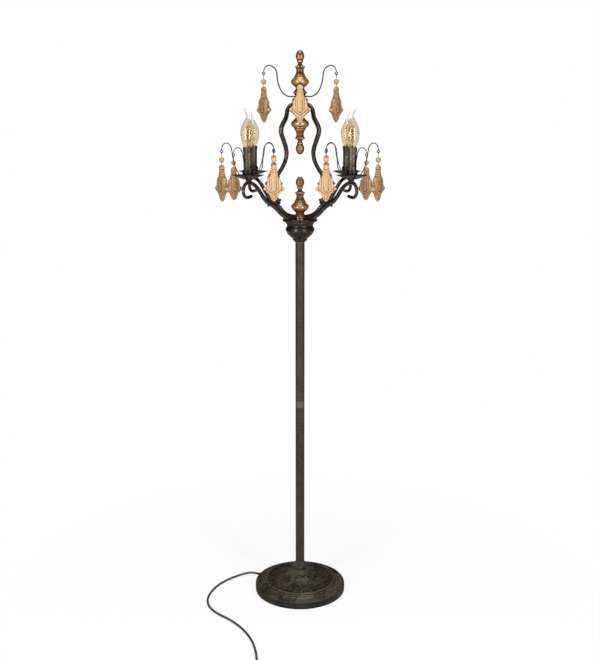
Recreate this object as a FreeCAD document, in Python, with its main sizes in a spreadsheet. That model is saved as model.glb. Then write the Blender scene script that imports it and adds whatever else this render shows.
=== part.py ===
import FreeCAD, Part
import math
import os
import Sketcher
from FreeCAD import Placement, Rotation, Vector

# Candlestick floor lamp. Millimetres, +Z up, origin on the floor at the middle of the base.
# The lamp is seen from -Y. Arms and lyre bars stand in the four 45 degree planes.

doc = FreeCAD.newDocument("CandlestickFloorLamp")

# ---------------------------------------------------------------- driving dimensions

SIZES = [
    # base
    ("base_radius", 128.0, "outer radius of the base shell"),
    ("base_wall_top", 22.0, "height of the upright wall's top edge"),
    ("base_wall", 3.0, "thickness of the base shell"),
    ("rim_gap", 1.2, "gap between the shell's rim and the floor"),
    ("rim_width", 17.0, "width of the rim, from the wall in to the first step"),
    ("step_top", 28.0, "height of the first step"),
    ("ridge_inset", 30.0, "distance from the wall in to the raised ridge"),
    ("ridge_top", 34.0, "height of the raised ridge"),
    ("band_inner", 60.0, "inner radius of the hammered band"),
    ("band_top", 41.0, "height of the band's inner edge"),
    ("ring_radius", 44.5, "radius of the ring round the dome"),
    ("ring_top", 48.0, "height of the ring round the dome"),
    ("dome_radius", 18.5, "radius at the top of the dome"),
    ("dome_top", 64.0, "height of the dome, where the collar sits"),
    ("pad_inset", 6.0, "distance from the wall in to the felt pad's edge"),
    ("pad_thick", 2.0, "thickness of the felt pad"),
    ("weight_inset", 28.0, "distance from the wall in to the iron weight's edge"),
    ("weight_thick", 18.0, "thickness of the iron weight"),
    ("boss_radius", 16.0, "radius of the weight's middle boss"),
    ("recess_radius", 20.0, "radius of the recess for the clamping nut"),
    ("recess_depth", 10.0, "depth of the recess for the clamping nut"),
    # pole
    ("collar_radius", 20.6, "widest radius of the turned collar"),
    ("collar_height", 18.0, "height of the turned collar"),
    ("socket_depth", 6.0, "how deep the pole sits in its collar and in the cup"),
    ("pole_radius", 12.5, "outer radius of the pole"),
    ("pole_wall", 1.5, "wall of the pole tube"),
    ("pole_joint", 556.0, "height of the joint between the two lengths"),
    ("plug_length", 14.0, "length of the threaded plug in each pole end"),
    ("nipple_radius", 5.0, "radius of the hollow threaded tubes"),
    ("nipple_bore", 3.5, "bore of the hollow threaded tubes"),
    ("thread_clear", 0.05, "radial clearance of threaded and turned seats"),
    # crown
    ("cup_bottom", 1007.0, "height of the crown cup's foot"),
    ("cup_foot_radius", 14.4, "radius of the crown cup's foot"),
    ("cup_collar_radius", 19.4, "radius of the small collar under the bowl"),
    ("cup_ring_radius", 38.1, "radius of the ring round the cup"),
    ("cup_drum_radius", 34.8, "radius of the drum above the ring"),
    ("cup_height", 54.0, "height of the crown cup"),
    ("cup_bore", 30.5, "radius of the hollow in the cup"),
    ("plate_radius", 46.3, "radius of the crown plate"),
    ("plate_thick", 5.0, "thickness of the crown plate inside its rim"),
    ("plate_rim", 2.0, "height of the crown plate's rim above the plate"),
    # arms and lyre bars, in their own upright plane
    ("arm_radius", 5.9, "radius of an arm at the crown"),
    ("arm_tip_radius", 4.15, "radius of an arm under its pan"),
    ("scroll_tip_radius", 2.3, "radius at the end of the scroll tail"),
    ("arm_start", 20.0, "distance from the axis to an arm's inner end"),
    ("arm_reach", 183.8, "distance from the axis to a pan"),
    ("arm_rise", 108.6, "height of an arm's centreline under its pan, over the cup"),
    ("screw_reach", 25.0, "distance from the axis to an arm's screw"),
    ("screw_radius", 2.0, "radius of an arm's screw"),
    ("bar_radius", 5.3, "radius of a lyre bar"),
    ("seat_gap", 0.25, "gap where a lyre bar lies along its arm"),
    ("bolt_radius", 1.5, "radius of a bolt at the foot of a lyre bar"),
    # top hub
    ("bar_rise", 302.8, "height over the cup at which the lyre bars leave the hub"),
    ("hub_below", 19.8, "length of the hub below the bars"),
    ("hub_above", 28.2, "length of the hub above the bars"),
    ("hook_rise", 20.2, "height over the bars at which the hub's hooks leave"),
    ("hub_drum_radius", 17.5, "radius of the drum that carries the lyre bars"),
    ("hub_flange_radius", 20.4, "radius of the hub's flange"),
    ("hub_neck_radius", 13.4, "radius of the neck that carries the hooks"),
    ("hub_foot_radius", 15.5, "radius at either end of the hub"),
    ("stud_radius", 3.0, "radius of the studs that hold the finials"),
    ("stud_length", 12.0, "length of the studs that hold the finials"),
    # finials
    ("finial_height", 107.95, "height of a finial without its plinth"),
    ("acorn_radius", 11.2, "radius of the acorn at the tip"),
    ("vase_radius", 13.4, "radius of the lip under the acorn"),
    ("ball_radius", 23.6, "radius of the finial's ball"),
    ("finial_foot", 18.2, "radius of the finial's foot"),
    ("finial_neck", 11.2, "radius of the neck under the ball"),
    ("crown_plinth", 5.0, "height of the plinth under the crown's finial"),
    # pans, sleeves and bulbs
    ("pan_radius", 40.2, "radius of a drip pan"),
    ("pan_lift", 8.4, "height of a drip pan over its arm's centreline"),
    ("pan_depth", 11.0, "height of a drip pan's rim over its underside"),
    ("pan_floor_lift", 5.2, "thickness of the pan under the candle cup"),
    ("candle_cup_radius", 13.4, "outer radius of the candle cup"),
    ("candle_cup_height", 23.5, "height of the candle cup over the pan's underside"),
    ("stem_radius", 4.6, "radius of the stem under a pan"),
    ("stem_thread", 4.0, "radius of the stem's threaded end"),
    ("sleeve_radius", 11.0, "outer radius of a candle sleeve"),
    ("sleeve_wall", 0.8, "wall of a candle sleeve"),
    ("sleeve_lip", 12.1, "radius of the band at a sleeve's top"),
    ("sleeve_height", 79.0, "height of a sleeve's top over the pan's underside"),
    ("holder_radius", 9.6, "radius of a lampholder"),
    ("holder_inset", 7.0, "depth of a lampholder below its sleeve's top"),
    ("cap_radius", 5.95, "radius of a bulb's screw cap"),
    ("cap_length", 24.0, "length of a bulb's screw cap"),
    ("glass_radius", 17.5, "radius of a bulb"),
    ("glass_wall", 0.9, "thickness of the bulb's glass"),
    ("glass_lean", 7.6, "how far a bulb's bent tip leans outward"),
    ("glass_height", 93.5, "height of a bulb's tip over its sleeve's top"),
    ("filament_radius", 0.9, "radius of one filament"),
    ("filament_spread", 4.2, "distance of the filaments from the bulb's axis"),
    # hooks and pendants
    ("hub_wire", 1.65, "wire radius of the hub's hooks"),
    ("pan_wire", 1.25, "wire radius of the pans' hooks"),
    ("hub_hook_reach", 93.8, "distance from the axis to a hub hook's eye"),
    ("hub_hook_rise", 54.5, "height of a hub hook's pivot over its root"),
    ("front_reach", 65.0, "reach of the hooks on the front pans"),
    ("front_rise", 65.5, "height of the pivots over the front pans' underside"),
    ("rear_outer_reach", 54.0, "reach of the outer hooks on the rear pans"),
    ("rear_outer_rise", 50.5, "height of the outer pivots over the rear pans' underside"),
    ("rear_inner_reach", 57.0, "reach of the inner hooks on the rear pans"),
    ("rear_inner_rise", 64.5, "height of the inner pivots over the rear pans' underside"),
    ("eye_radius", 3.1, "centreline radius of a hook's eye"),
    ("eye_wire", 1.1, "wire radius of a hook's eye"),
    ("ring_radius_pin", 3.0, "centreline radius of a pendant's ring"),
    ("ring_wire", 0.8, "wire radius of a pendant's ring"),
    ("ring_clear", 0.3, "clearance between a ring and its eye"),
    ("pin_radius", 0.7, "radius of a pendant's pin"),
    ("bead_radius", 6.7, "radius of a bead"),
    ("bead_drop", 17.5, "distance from the pivot down to the bead's middle"),
    ("drop_start", 29.5, "distance from the pivot down to the wooden drop"),
    ("drop_length", 91.0, "length of the wooden drop"),
    ("drop_width", 52.6, "width of the wooden drop over its horns"),
    ("drop_thick", 14.0, "thickness of the wooden drop"),
    # cord
    ("cord_radius", 3.25, "radius of the mains cord"),
    ("cord_height", 3.4, "height of the cord's middle on the floor"),
    ("inlet_height", 9.0, "height of the cord inlet in the base wall"),
    ("inlet_angle", 151.0, "direction of the cord inlet, from +X"),
    ("relief_reach", 14.0, "how far the strain relief stands out"),
    ("coil_radius", 43.0, "centreline radius of the coil's outer turn"),
    ("coil_gap", 0.5, "gap between neighbouring turns of the coil"),
    ("coil_x", 80.0, "middle of the coil, sideways"),
    ("coil_y", -476.0, "middle of the coil, towards the viewer"),
    ("switch_length", 70.0, "length of the foot switch"),
    ("switch_width", 34.0, "width of the foot switch"),
    ("switch_height", 20.0, "height of the foot switch"),
    ("button_radius", 10.0, "radius of the switch's button"),
    ("button_travel", 2.5, "travel of the switch's button"),
    ("button_proud", 3.5, "how far the button stands out at rest"),
    ("plug_width", 27.0, "width of the plug"),
    ("plug_body", 36.0, "length of the plug's body"),
    ("plug_relief", 18.0, "length of the plug's strain relief"),
    ("blade_length", 17.0, "length of the plug's blades"),
    ("blade_pitch", 12.7, "distance between the plug's blades"),
]


class Length:
    """A length that knows its value in millimetres and the sheet formula behind it."""

    def __init__(self, value, formula):
        self.value = float(value)
        self.formula = formula

    def __float__(self):
        return self.value

    def joined(self, other, sign, swap=False):
        other = other if isinstance(other, Length) else Length(other, repr(float(other)))
        first, second = (other, self) if swap else (self, other)
        results = {
            "+": lambda: first.value + second.value,
            "-": lambda: first.value - second.value,
            "*": lambda: first.value * second.value,
            "/": lambda: first.value / second.value,
        }
        return Length(results[sign](), "(%s %s %s)" % (first.formula, sign, second.formula))

    def __add__(self, other):
        return self.joined(other, "+")

    def __radd__(self, other):
        return self.joined(other, "+", swap=True)

    def __sub__(self, other):
        return self.joined(other, "-")

    def __rsub__(self, other):
        return self.joined(other, "-", swap=True)

    def __mul__(self, other):
        return self.joined(other, "*")

    def __rmul__(self, other):
        return self.joined(other, "*", swap=True)

    def __truediv__(self, other):
        return self.joined(other, "/")

    def __neg__(self):
        return 0.0 - self


class Sizes:
    """The driving dimensions, each read by its alias."""

    def __init__(self, sheet, rows):
        for number, (alias, value, note) in enumerate(rows, start=1):
            sheet.set("A%d" % number, note)
            sheet.set("B%d" % number, str(value))
            sheet.setAlias("B%d" % number, alias)
            setattr(self, alias, Length(value, "Sizes." + alias))


sheet = doc.addObject("Spreadsheet::Sheet", "Sizes")
size = Sizes(sheet, SIZES)
doc.recompute()

# Radii of the base, each worked out from its wall.
size.step_radius = size.base_radius - size.rim_width
size.ridge_radius = size.base_radius - size.ridge_inset
size.pad_radius = size.base_radius - size.pad_inset
size.weight_radius = size.base_radius - size.weight_inset

# Levels over the floor, each worked out from the piece that carries it.
size.cup_top = size.cup_bottom + size.cup_height
size.arm_crest = size.cup_top + size.arm_rise
size.bar_height = size.cup_top + size.bar_rise
size.hub_bottom = size.bar_height - size.hub_below
size.hub_top = size.bar_height + size.hub_above
size.hook_height = size.bar_height + size.hook_rise
size.hub_hook_pivot = size.hook_height + size.hub_hook_rise
size.pan_bottom = size.arm_crest + size.pan_lift
size.pan_rim = size.pan_bottom + size.pan_depth
size.pan_floor = size.pan_bottom + size.pan_floor_lift
size.candle_cup_top = size.pan_bottom + size.candle_cup_height
size.sleeve_top = size.pan_bottom + size.sleeve_height
size.holder_top = size.sleeve_top - size.holder_inset
size.glass_tip = size.sleeve_top + size.glass_height
size.front_pivot = size.pan_bottom + size.front_rise
size.rear_outer_pivot = size.pan_bottom + size.rear_outer_rise
size.rear_inner_pivot = size.pan_bottom + size.rear_inner_rise

SUBPARTS = []


def keep(item, label, placement=None):
    """Name a finished piece, place it and list it for export."""
    item.Label = label
    if placement is not None:
        item.Placement = placement
    SUBPARTS.append(item)
    return item


def bind(item, **properties):
    """Tie properties of an object to the sheet."""
    for name, value in properties.items():
        if isinstance(value, Length):
            item.setExpression(name, value.formula)
        else:
            setattr(item, name, value)
    return item


def at(x=0.0, y=0.0, z=0.0, turn=0.0):
    """A placement at a point, turned about the upright axis by degrees."""
    return Placement(Vector(float(x), float(y), float(z)), Rotation(Vector(0, 0, 1), turn))


# ---------------------------------------------------------------- outlines and turned pieces


def round_stretch(start, end, radius):
    """A round stretch of an outline. A positive radius bulges to the right of the way."""
    if radius < 0.0:
        start, end = end, start
    chord = end - start
    half = chord.Length / 2.0
    reach = math.sqrt(max(radius * radius - half * half, 0.0))
    centre = (start + end) * 0.5 + Vector(-chord.y, chord.x, 0.0) * (reach / chord.Length)
    circle = Part.Circle(centre, Vector(0, 0, 1), abs(radius))
    first = math.atan2(start.y - centre.y, start.x - centre.x)
    last = math.atan2(end.y - centre.y, end.x - centre.x)
    if last < first:
        last += 2.0 * math.pi
    return Part.ArcOfCircle(circle, first, last)


def draw_outline(sketch, corners):
    """Draw a closed outline. A corner is (x, y) or (x, y, radius of the stretch before it)."""
    count = len(corners)
    points = [Vector(float(c[0]), float(c[1]), 0.0) for c in corners]
    rules = []
    starts = []
    for index in range(count):
        following = (index + 1) % count
        here, there = points[index], points[following]
        if len(corners[following]) == 3:
            radius = float(corners[following][2])
            sketch.addGeometry(round_stretch(here, there, radius), False)
            starts.append((1, 2) if radius > 0.0 else (2, 1))
        else:
            sketch.addGeometry(Part.LineSegment(here, there), False)
            starts.append((1, 2))
    for index in range(count):
        following = (index + 1) % count
        ends = (index, starts[index][1], following, starts[following][0])
        rules.append((Sketcher.Constraint("Coincident", *ends), None))
    for index, corner in enumerate(corners):
        for axis, value in (("X", corner[0]), ("Y", corner[1])):
            if abs(float(value)) < 1e-9:
                line = -2 if axis == "X" else -1
                rules.append((Sketcher.Constraint("PointOnObject", index, starts[index][0], line), None))
                continue
            rule = Sketcher.Constraint("Distance" + axis, -1, 1, index, starts[index][0], float(value))
            rules.append((rule, value))
    for index in range(count):
        following = (index + 1) % count
        if len(corners[following]) == 3:
            radius = corners[following][2]
            bend = radius if float(radius) > 0 else -radius
            rules.append((Sketcher.Constraint("Radius", index, float(bend)), bend))
    sketch.addConstraint([rule for rule, _ in rules])
    for number, (_, value) in enumerate(rules):
        if isinstance(value, Length):
            sketch.setExpression("Constraints[%d]" % number, value.formula)


def sketch_on(body, plane, name, corners):
    """A sketch with one outline, on one of the body's own planes."""
    sketch = body.newObject("Sketcher::SketchObject", name)
    origin = [f for f in body.Origin.OriginFeatures if f.Role == plane][0]
    sketch.AttachmentSupport = [(origin, "")]
    sketch.MapMode = "FlatFace"
    draw_outline(sketch, corners)
    return sketch


def turned(name, corners):
    """A solid turned about the upright axis. Its outline is given in (radius, height)."""
    body = doc.addObject("PartDesign::Body", name)
    sketch = sketch_on(body, "XZ_Plane", name + "_outline", corners)
    spin = body.newObject("PartDesign::Revolution", name + "_turning")
    spin.Profile = sketch
    spin.ReferenceAxis = (sketch, ["V_Axis"])
    spin.Angle = 360.0
    sketch.Visibility = False
    return body


def padded(name, corners, thickness, plane="XZ_Plane", midplane=True):
    """A plate of the given outline."""
    body = doc.addObject("PartDesign::Body", name)
    sketch = sketch_on(body, plane, name + "_outline", corners)
    pad = body.newObject("PartDesign::Pad", name + "_plate")
    pad.Profile = sketch
    pad.Midplane = midplane
    bind(pad, Length=thickness)
    return body


def cylinder(name, radius, height, placement=None):
    item = doc.addObject("Part::Cylinder", name)
    bind(item, Radius=radius, Height=height)
    if placement is not None:
        item.Placement = placement
    return item


def hexagon(name, across_flats, height, placement=None):
    item = doc.addObject("Part::Prism", name)
    item.Polygon = 6
    bind(item, Circumradius=across_flats / math.sqrt(3.0), Height=height)
    if placement is not None:
        item.Placement = placement
    return item


def cut(name, base, tool):
    item = doc.addObject("Part::Cut", name)
    item.Base = base
    item.Tool = tool
    return item


def fuse(name, shapes):
    item = doc.addObject("Part::MultiFuse", name)
    item.Shapes = shapes
    return item


def group(name, shapes):
    """Separate solids that share one node."""
    item = doc.addObject("Part::Compound", name)
    item.Links = shapes
    return item


def lying(direction, x=0.0, y=0.0, z=0.0):
    """A placement whose own upright axis points along a direction."""
    return Placement(
        Vector(float(x), float(y), float(z)), Rotation(Vector(0, 0, 1), Vector(*direction))
    )


# ---------------------------------------------------------------- bent wires and bars


def bent(start, control, end):
    """One arc from start to end whose end tangents meet at control, or a straight line."""
    leg = control.distanceToPoint(start)
    flat = start.distanceToPoint(end) / (2.0 * leg)
    if flat > 1.0 - 1e-7:
        return Part.LineSegment(start, end).toShape()
    middle = (start * 0.5 + end * 0.5 + control * flat) * (1.0 / (1.0 + flat))
    return Part.Arc(start, middle, end).toShape()


def two_arcs(start, start_way, end, end_way):
    """Two arcs that join start to end and leave and arrive along the given ways."""
    span = end.sub(start)
    ways = start_way.add(end_way)
    spread = 2.0 * (1.0 - start_way.dot(end_way))
    along = span.dot(ways)
    if spread < 1e-9:
        leg = span.dot(span) / (4.0 * span.dot(end_way))
    else:
        leg = (math.sqrt(along * along + spread * span.dot(span)) - along) / spread
    first = start + start_way * leg
    second = end - end_way * leg
    middle = (first + second) * 0.5
    return [bent(start, first, middle), bent(middle, second, end)]


def in_plane(node):
    """A station (out, up, heading) of a bar in its upright plane as a point and a way."""
    angle = math.radians(node[2])
    return Vector(float(node[0]), 0, float(node[1])), Vector(math.cos(angle), 0, math.sin(angle))


def flowing(nodes):
    """A smooth line through stations in an upright plane."""
    stations = [in_plane(node) for node in nodes]
    edges = []
    for (point, way), (after, after_way) in zip(stations, stations[1:]):
        edges += two_arcs(point, way, after, after_way)
    return edges


def bar(name, edges, start_radius, end_radius=None):
    """A round bar along joined edges, which may taper evenly to its end."""
    path = doc.addObject("Part::Feature", name + "_line")
    path.Shape = Part.Wire(edges)
    first, last = edges[0], edges[-1]
    sections = []
    stops = [(first, first.FirstParameter, start_radius)]
    if end_radius is not None:
        stops.append((last, last.LastParameter, end_radius))
    for number, (edge, parameter, radius) in enumerate(stops):
        section = doc.addObject("Part::Circle", "%s_section_%d" % (name, number + 1))
        bind(section, Radius=radius)
        way = edge.tangentAt(parameter)
        section.Placement = Placement(edge.valueAt(parameter), Rotation(Vector(0, 0, 1), way))
        sections.append(section)
    sweep = doc.addObject("Part::Sweep", name)
    sweep.Sections = sections
    sweep.Spine = (path, ["Edge%d" % (n + 1) for n in range(len(edges))])
    sweep.Solid = True
    sweep.Frenet = False
    return sweep


# ---------------------------------------------------------------- base


def make_base():
    s = size
    wall = s.base_wall
    under = s.dome_top - wall * 2.0
    shell = turned(
        "shell_body",
        [
            (s.base_radius - wall, s.rim_gap),
            (s.base_radius, s.rim_gap),
            (s.base_radius, s.base_wall_top - 2.5),
            (s.base_radius - 2.5, s.base_wall_top, 2.6),
            (s.step_radius + 2.0, s.base_wall_top + 3.0),
            (s.step_radius, s.step_top),
            (s.ridge_radius + 5.0, s.step_top + 2.4, 40.0),
            (s.ridge_radius + 1.5, s.ridge_top - 0.4),
            (s.ridge_radius - 2.5, s.ridge_top - 0.2, 2.8),
            (s.ridge_radius - 4.5, s.ridge_top - 1.4),
            (s.band_inner, s.band_top),
            (s.ring_radius + 2.0, s.band_top + 2.8),
            (s.ring_radius, s.ring_top - 1.2),
            (s.ring_radius - 2.5, s.ring_top, 2.6),
            (s.dome_radius, s.dome_top, -42.0),
            (s.nipple_radius + s.thread_clear, s.dome_top),
            (s.nipple_radius + s.thread_clear, under),
            (s.dome_radius - 1.5, under),
            (s.ring_radius - 5.5, s.ring_top - wall, 42.0),
            (s.band_inner - 1.0, s.band_top - wall),
            (s.ridge_radius - 3.0, s.ridge_top - wall * 1.5),
            (s.step_radius - wall, s.step_top - wall * 1.3),
            (s.base_radius - wall - 2.0, s.base_wall_top - wall),
            (s.base_radius - wall, s.base_wall_top - wall - 2.0, 2.1),
        ],
    )
    angle = math.radians(s.inlet_angle.value)
    outward = Vector(math.cos(angle), math.sin(angle), 0)
    inside = outward * (s.base_radius.value - 3.0 * wall.value)
    inlet = cylinder(
        "inlet_hole",
        5.2,
        wall * 4.0,
        lying(outward, inside.x, inside.y, s.inlet_height),
    )
    keep(cut("shell_with_inlet", shell, inlet), "base_shell")

    keep(
        turned(
            "pad_body",
            [(0.0, 0.0), (s.pad_radius, 0.0), (s.pad_radius, s.pad_thick), (0.0, s.pad_thick)],
        ),
        "base_pad",
    )

    bottom = s.pad_thick
    bore = s.nipple_radius + s.thread_clear
    weight = turned(
        "weight_body",
        [
            (s.recess_radius, bottom),
            (s.weight_radius, bottom),
            (s.weight_radius, bottom + s.weight_thick - 3.0),
            (s.weight_radius - 3.0, bottom + s.weight_thick),
            (s.boss_radius + 4.0, bottom + s.weight_thick),
            (s.boss_radius, bottom + s.weight_thick + 4.0, -4.2),
            (s.boss_radius, under - 0.1),
            (bore, under - 0.1),
            (bore, bottom + s.recess_depth),
            (s.recess_radius, bottom + s.recess_depth),
        ],
    )
    channel = doc.addObject("Part::Box", "cord_channel")
    bind(channel, Length=s.weight_radius, Width=9.0, Height=s.recess_depth)
    turn = Rotation(Vector(0, 0, 1), s.inlet_angle.value)
    corner = turn.multVec(Vector(s.recess_radius.value / 2.0, -4.5, 0))
    channel.Placement = Placement(Vector(corner.x, corner.y, bottom.value - 0.01), turn)
    keep(cut("weight_with_channel", weight, channel), "base_weight")

    collar_top = s.dome_top + s.collar_height
    socket = s.pole_radius + s.thread_clear
    keep(
        turned(
            "collar_body",
            [
                (bore, s.dome_top),
                (s.collar_radius - 4.0, s.dome_top),
                (s.collar_radius - 1.2, s.dome_top + 2.0),
                (s.collar_radius - 1.2, s.dome_top + 9.5, 4.6),
                (s.collar_radius - 5.0, s.dome_top + 14.0, -9.0),
                (s.pole_radius + 2.6, collar_top - 2.4),
                (s.pole_radius + 2.6, collar_top - 0.6, 1.1),
                (s.pole_radius + 1.2, collar_top),
                (socket, collar_top),
                (socket, collar_top - s.socket_depth),
                (bore, collar_top - s.socket_depth),
            ],
        ),
        "base_collar",
    )

    recess_roof = bottom + s.recess_depth
    nipple_top = collar_top - s.socket_depth + s.plug_length - 1.0
    nipple = turned(
        "base_nipple",
        [
            (s.nipple_bore, bottom + 1.0),
            (s.nipple_radius, bottom + 1.0),
            (s.nipple_radius, nipple_top),
            (s.nipple_bore, nipple_top),
        ],
    )
    washer = turned(
        "base_washer",
        [
            (bore, recess_roof - 1.6),
            (s.recess_radius - 4.0, recess_roof - 1.6),
            (s.recess_radius - 4.0, recess_roof),
            (bore, recess_roof),
        ],
    )
    nut_solid = hexagon("base_nut_blank", s.nipple_radius * 3.0, 5.5)
    nut_solid.Placement = at(z=recess_roof - 1.6 - 5.5)
    nut_hole = cylinder("base_nut_hole", bore, 8.0, at(z=recess_roof - 8.5))
    nut = cut("base_nut", nut_solid, nut_hole)
    keep(group("base_fixing_set", [nipple, washer, nut]), "base_fixings")


def make_grommet():
    s = size
    neck = 5.1
    relief = turned(
        "relief_body",
        [
            (0.0, -s.base_wall - 3.0),
            (6.6, -s.base_wall - 3.0),
            (6.6, -s.base_wall - 0.3),
            (neck, -s.base_wall - 0.3),
            (neck, 0.2),
            (6.4, 0.2),
            (6.4, 1.8),
            (5.2, 2.4, -0.9),
            (s.cord_radius + 0.6, s.relief_reach),
            (0.0, s.relief_reach),
        ],
    )
    angle = math.radians(s.inlet_angle.value)
    outward = Vector(math.cos(angle), math.sin(angle), 0)
    foot = outward * s.base_radius.value
    keep(relief, "cord_grommet", lying(outward, foot.x, foot.y, s.inlet_height))


# ---------------------------------------------------------------- pole


def tube_with_plugs(name, low, high):
    """One length of the pole: a tube with a threaded plug welded in each end."""
    s = size
    inner = s.pole_radius - s.pole_wall
    bore = s.nipple_radius + s.thread_clear
    return turned(
        name,
        [
            (bore, low),
            (s.pole_radius - 0.4, low),
            (s.pole_radius, low + 0.4),
            (s.pole_radius, high - 0.4),
            (s.pole_radius - 0.4, high),
            (bore, high),
            (bore, high - s.plug_length),
            (inner, high - s.plug_length),
            (inner, low + s.plug_length),
            (bore, low + s.plug_length),
        ],
    )


def make_pole():
    s = size
    low = s.dome_top + s.collar_height - s.socket_depth
    high = s.cup_bottom + s.socket_depth
    keep(tube_with_plugs("lower_tube", low, s.pole_joint), "pole_lower")
    keep(tube_with_plugs("upper_tube", s.pole_joint, high), "pole_upper")
    reach = s.plug_length - 1.0
    keep(
        turned(
            "coupler_body",
            [
                (s.nipple_bore, s.pole_joint - reach),
                (s.nipple_radius, s.pole_joint - reach),
                (s.nipple_radius, s.pole_joint + reach),
                (s.nipple_bore, s.pole_joint + reach),
            ],
        ),
        "pole_coupler",
    )


# ---------------------------------------------------------------- crown


def make_crown():
    s = size
    foot = s.cup_bottom
    bore = s.nipple_radius + s.thread_clear
    socket = s.pole_radius + s.thread_clear
    floor = foot + s.socket_depth
    keep(
        turned(
            "cup_body",
            [
                (socket, foot),
                (s.cup_foot_radius, foot),
                (s.cup_collar_radius - 1.2, foot + 4.4),
                (s.cup_collar_radius, foot + 5.6, 1.4),
                (s.cup_collar_radius, foot + 8.0, 2.0),
                (s.cup_collar_radius + 0.8, foot + 9.0),
                (s.cup_ring_radius - 1.2, foot + 28.6, 36.0),
                (s.cup_ring_radius, foot + 31.0, 2.2),
                (s.cup_ring_radius - 0.4, foot + 37.5, 6.0),
                (s.cup_drum_radius, foot + 40.5),
                (s.cup_drum_radius, foot + 44.5),
                (s.cup_drum_radius + 3.9, s.cup_top - 3.6, -7.5),
                (s.cup_drum_radius + 5.0, s.cup_top),
                (s.cup_bore, s.cup_top),
                (s.cup_bore, foot + 34.0),
                (s.cup_bore - 13.0, floor + 10.0, 22.0),
                (bore, floor + 10.0),
                (bore, floor),
                (socket, floor),
            ],
        ),
        "crown_cup",
    )

    top = s.cup_top + s.plate_thick
    plate = turned(
        "plate_body",
        [
            (bore, s.cup_top - 3.0),
            (s.cup_bore - 0.1, s.cup_top - 3.0),
            (s.cup_bore - 0.1, s.cup_top + 0.1),
            (s.cup_drum_radius + 5.6, s.cup_top + 0.1),
            (s.plate_radius - 1.6, s.cup_top + 1.2, -6.0),
            (s.plate_radius, s.cup_top + 2.6, 1.6),
            (s.plate_radius, top + s.plate_rim - 1.6),
            (s.plate_radius - 1.6, top + s.plate_rim, 1.7),
            (s.plate_radius - 4.4, top + s.plate_rim),
            (s.plate_radius - 6.4, top),
            (bore, top),
        ],
    )
    holes = []
    for number in range(4):
        angle = math.radians(45.0 + 90.0 * number)
        x = s.screw_reach.value * math.cos(angle)
        y = s.screw_reach.value * math.sin(angle)
        hole = cylinder(
            "plate_hole_%d" % (number + 1), s.screw_radius + 0.1, 12.0, at(x, y, s.cup_top - 3.5)
        )
        holes.append(hole)
    keep(cut("plate_with_holes", plate, fuse("plate_holes", holes)), "crown_plate")

    nipple_top = top + s.crown_plinth + s.stud_length
    nipple = turned(
        "crown_nipple",
        [
            (s.nipple_bore, floor - s.plug_length + 1.0),
            (s.nipple_radius, floor - s.plug_length + 1.0),
            (s.nipple_radius, top - 1.0),
            (s.stud_radius + 1.2, top),
            (s.stud_radius + 1.2, nipple_top),
            (s.nipple_bore, nipple_top),
        ],
    )
    nut_solid = hexagon("crown_nut_blank", s.nipple_radius * 3.0, 5.5, at(z=floor + 10.05))
    nut = cut("crown_nut", nut_solid, cylinder("crown_nut_hole", bore, 8.0, at(z=floor + 9.0)))
    pieces = [nipple, nut]
    for number in range(4):
        angle = math.radians(45.0 + 90.0 * number)
        x = s.screw_reach.value * math.cos(angle)
        y = s.screw_reach.value * math.sin(angle)
        head = s.cup_top - 3.1 - 2.4
        shank = cylinder(
            "arm_screw_shank_%d" % (number + 1), s.screw_radius, 15.0, at(x, y, head)
        )
        cheese = cylinder(
            "arm_screw_head_%d" % (number + 1), s.screw_radius * 1.9, 2.4, at(x, y, head)
        )
        pieces.append(fuse("arm_screw_%d" % (number + 1), [shank, cheese]))
    keep(group("crown_fixing_set", pieces), "crown_fixings")


# ---------------------------------------------------------------- arms and lyre bars


# An arm's stations: share of the way out to the pan, share of the way up, and heading.
ARM_SHAPE = [
    (0.0, 0.0, 0.0),
    (0.281, 0.117, 35.0),
    (0.415, 0.299, 37.0),
    (0.568, 0.447, 25.0),
    (0.702, 0.639, 50.0),
    (0.823, 0.873, 43.0),
    (1.0, 1.0, 0.0),
]

# A lyre bar's stations from the hub down: share of the way out to its seat on the arm, share
# of the way down to it, and heading.
LYRE_SHAPE = [
    (0.0, 0.0, -3.0),
    (0.197, 0.016, -31.0),
    (0.343, 0.103, -84.0),
    (0.451, 0.182, -50.0),
    (0.575, 0.278, -88.0),
    (0.473, 0.385, -114.0),
    (0.354, 0.521, -90.0),
    (0.495, 0.660, -54.0),
    (0.926, 0.824, -45.0),
    (1.120, 0.929, -90.0),
]


def arm_stations():
    """Stations of an arm from the crown plate out to its pan."""
    s = size
    start = s.cup_top + s.plate_thick + s.arm_radius + 0.1
    out, rise = s.arm_reach - s.arm_start, s.arm_crest - start
    return [(s.arm_start + out * x, start + rise * z, heading) for x, z, heading in ARM_SHAPE]


def beside(station, distance):
    """A station that lies beside another, on its upper side, and runs the other way."""
    point, way = in_plane(station)
    return (point.x - way.z * distance, point.z + way.x * distance, station[2] + 180.0)


def lyre_stations():
    """Stations of a lyre bar from the top hub down to its seat along the arm."""
    s = size
    arm = arm_stations()
    lift = s.arm_radius.value + s.bar_radius.value + s.seat_gap.value
    seat = beside(arm[3], lift)
    start = s.hub_drum_radius.value + 0.15
    out, drop = seat[0] - start, s.bar_height.value - seat[1]
    curve = [(start + out * x, s.bar_height - drop * z, heading) for x, z, heading in LYRE_SHAPE]
    return curve + [seat, beside(arm[2], lift)]


def foot_bolt_line():
    """Where the bolt at a lyre bar's foot runs: a point in the bar's end, and its way."""
    end = lyre_stations()[-1]
    angle = math.radians(-8.0)
    way = Vector(math.cos(angle), 0, math.sin(angle))
    point = Vector(float(end[0]) + 3.5, 0, float(end[1]) + 2.6)
    return point, way


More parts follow.
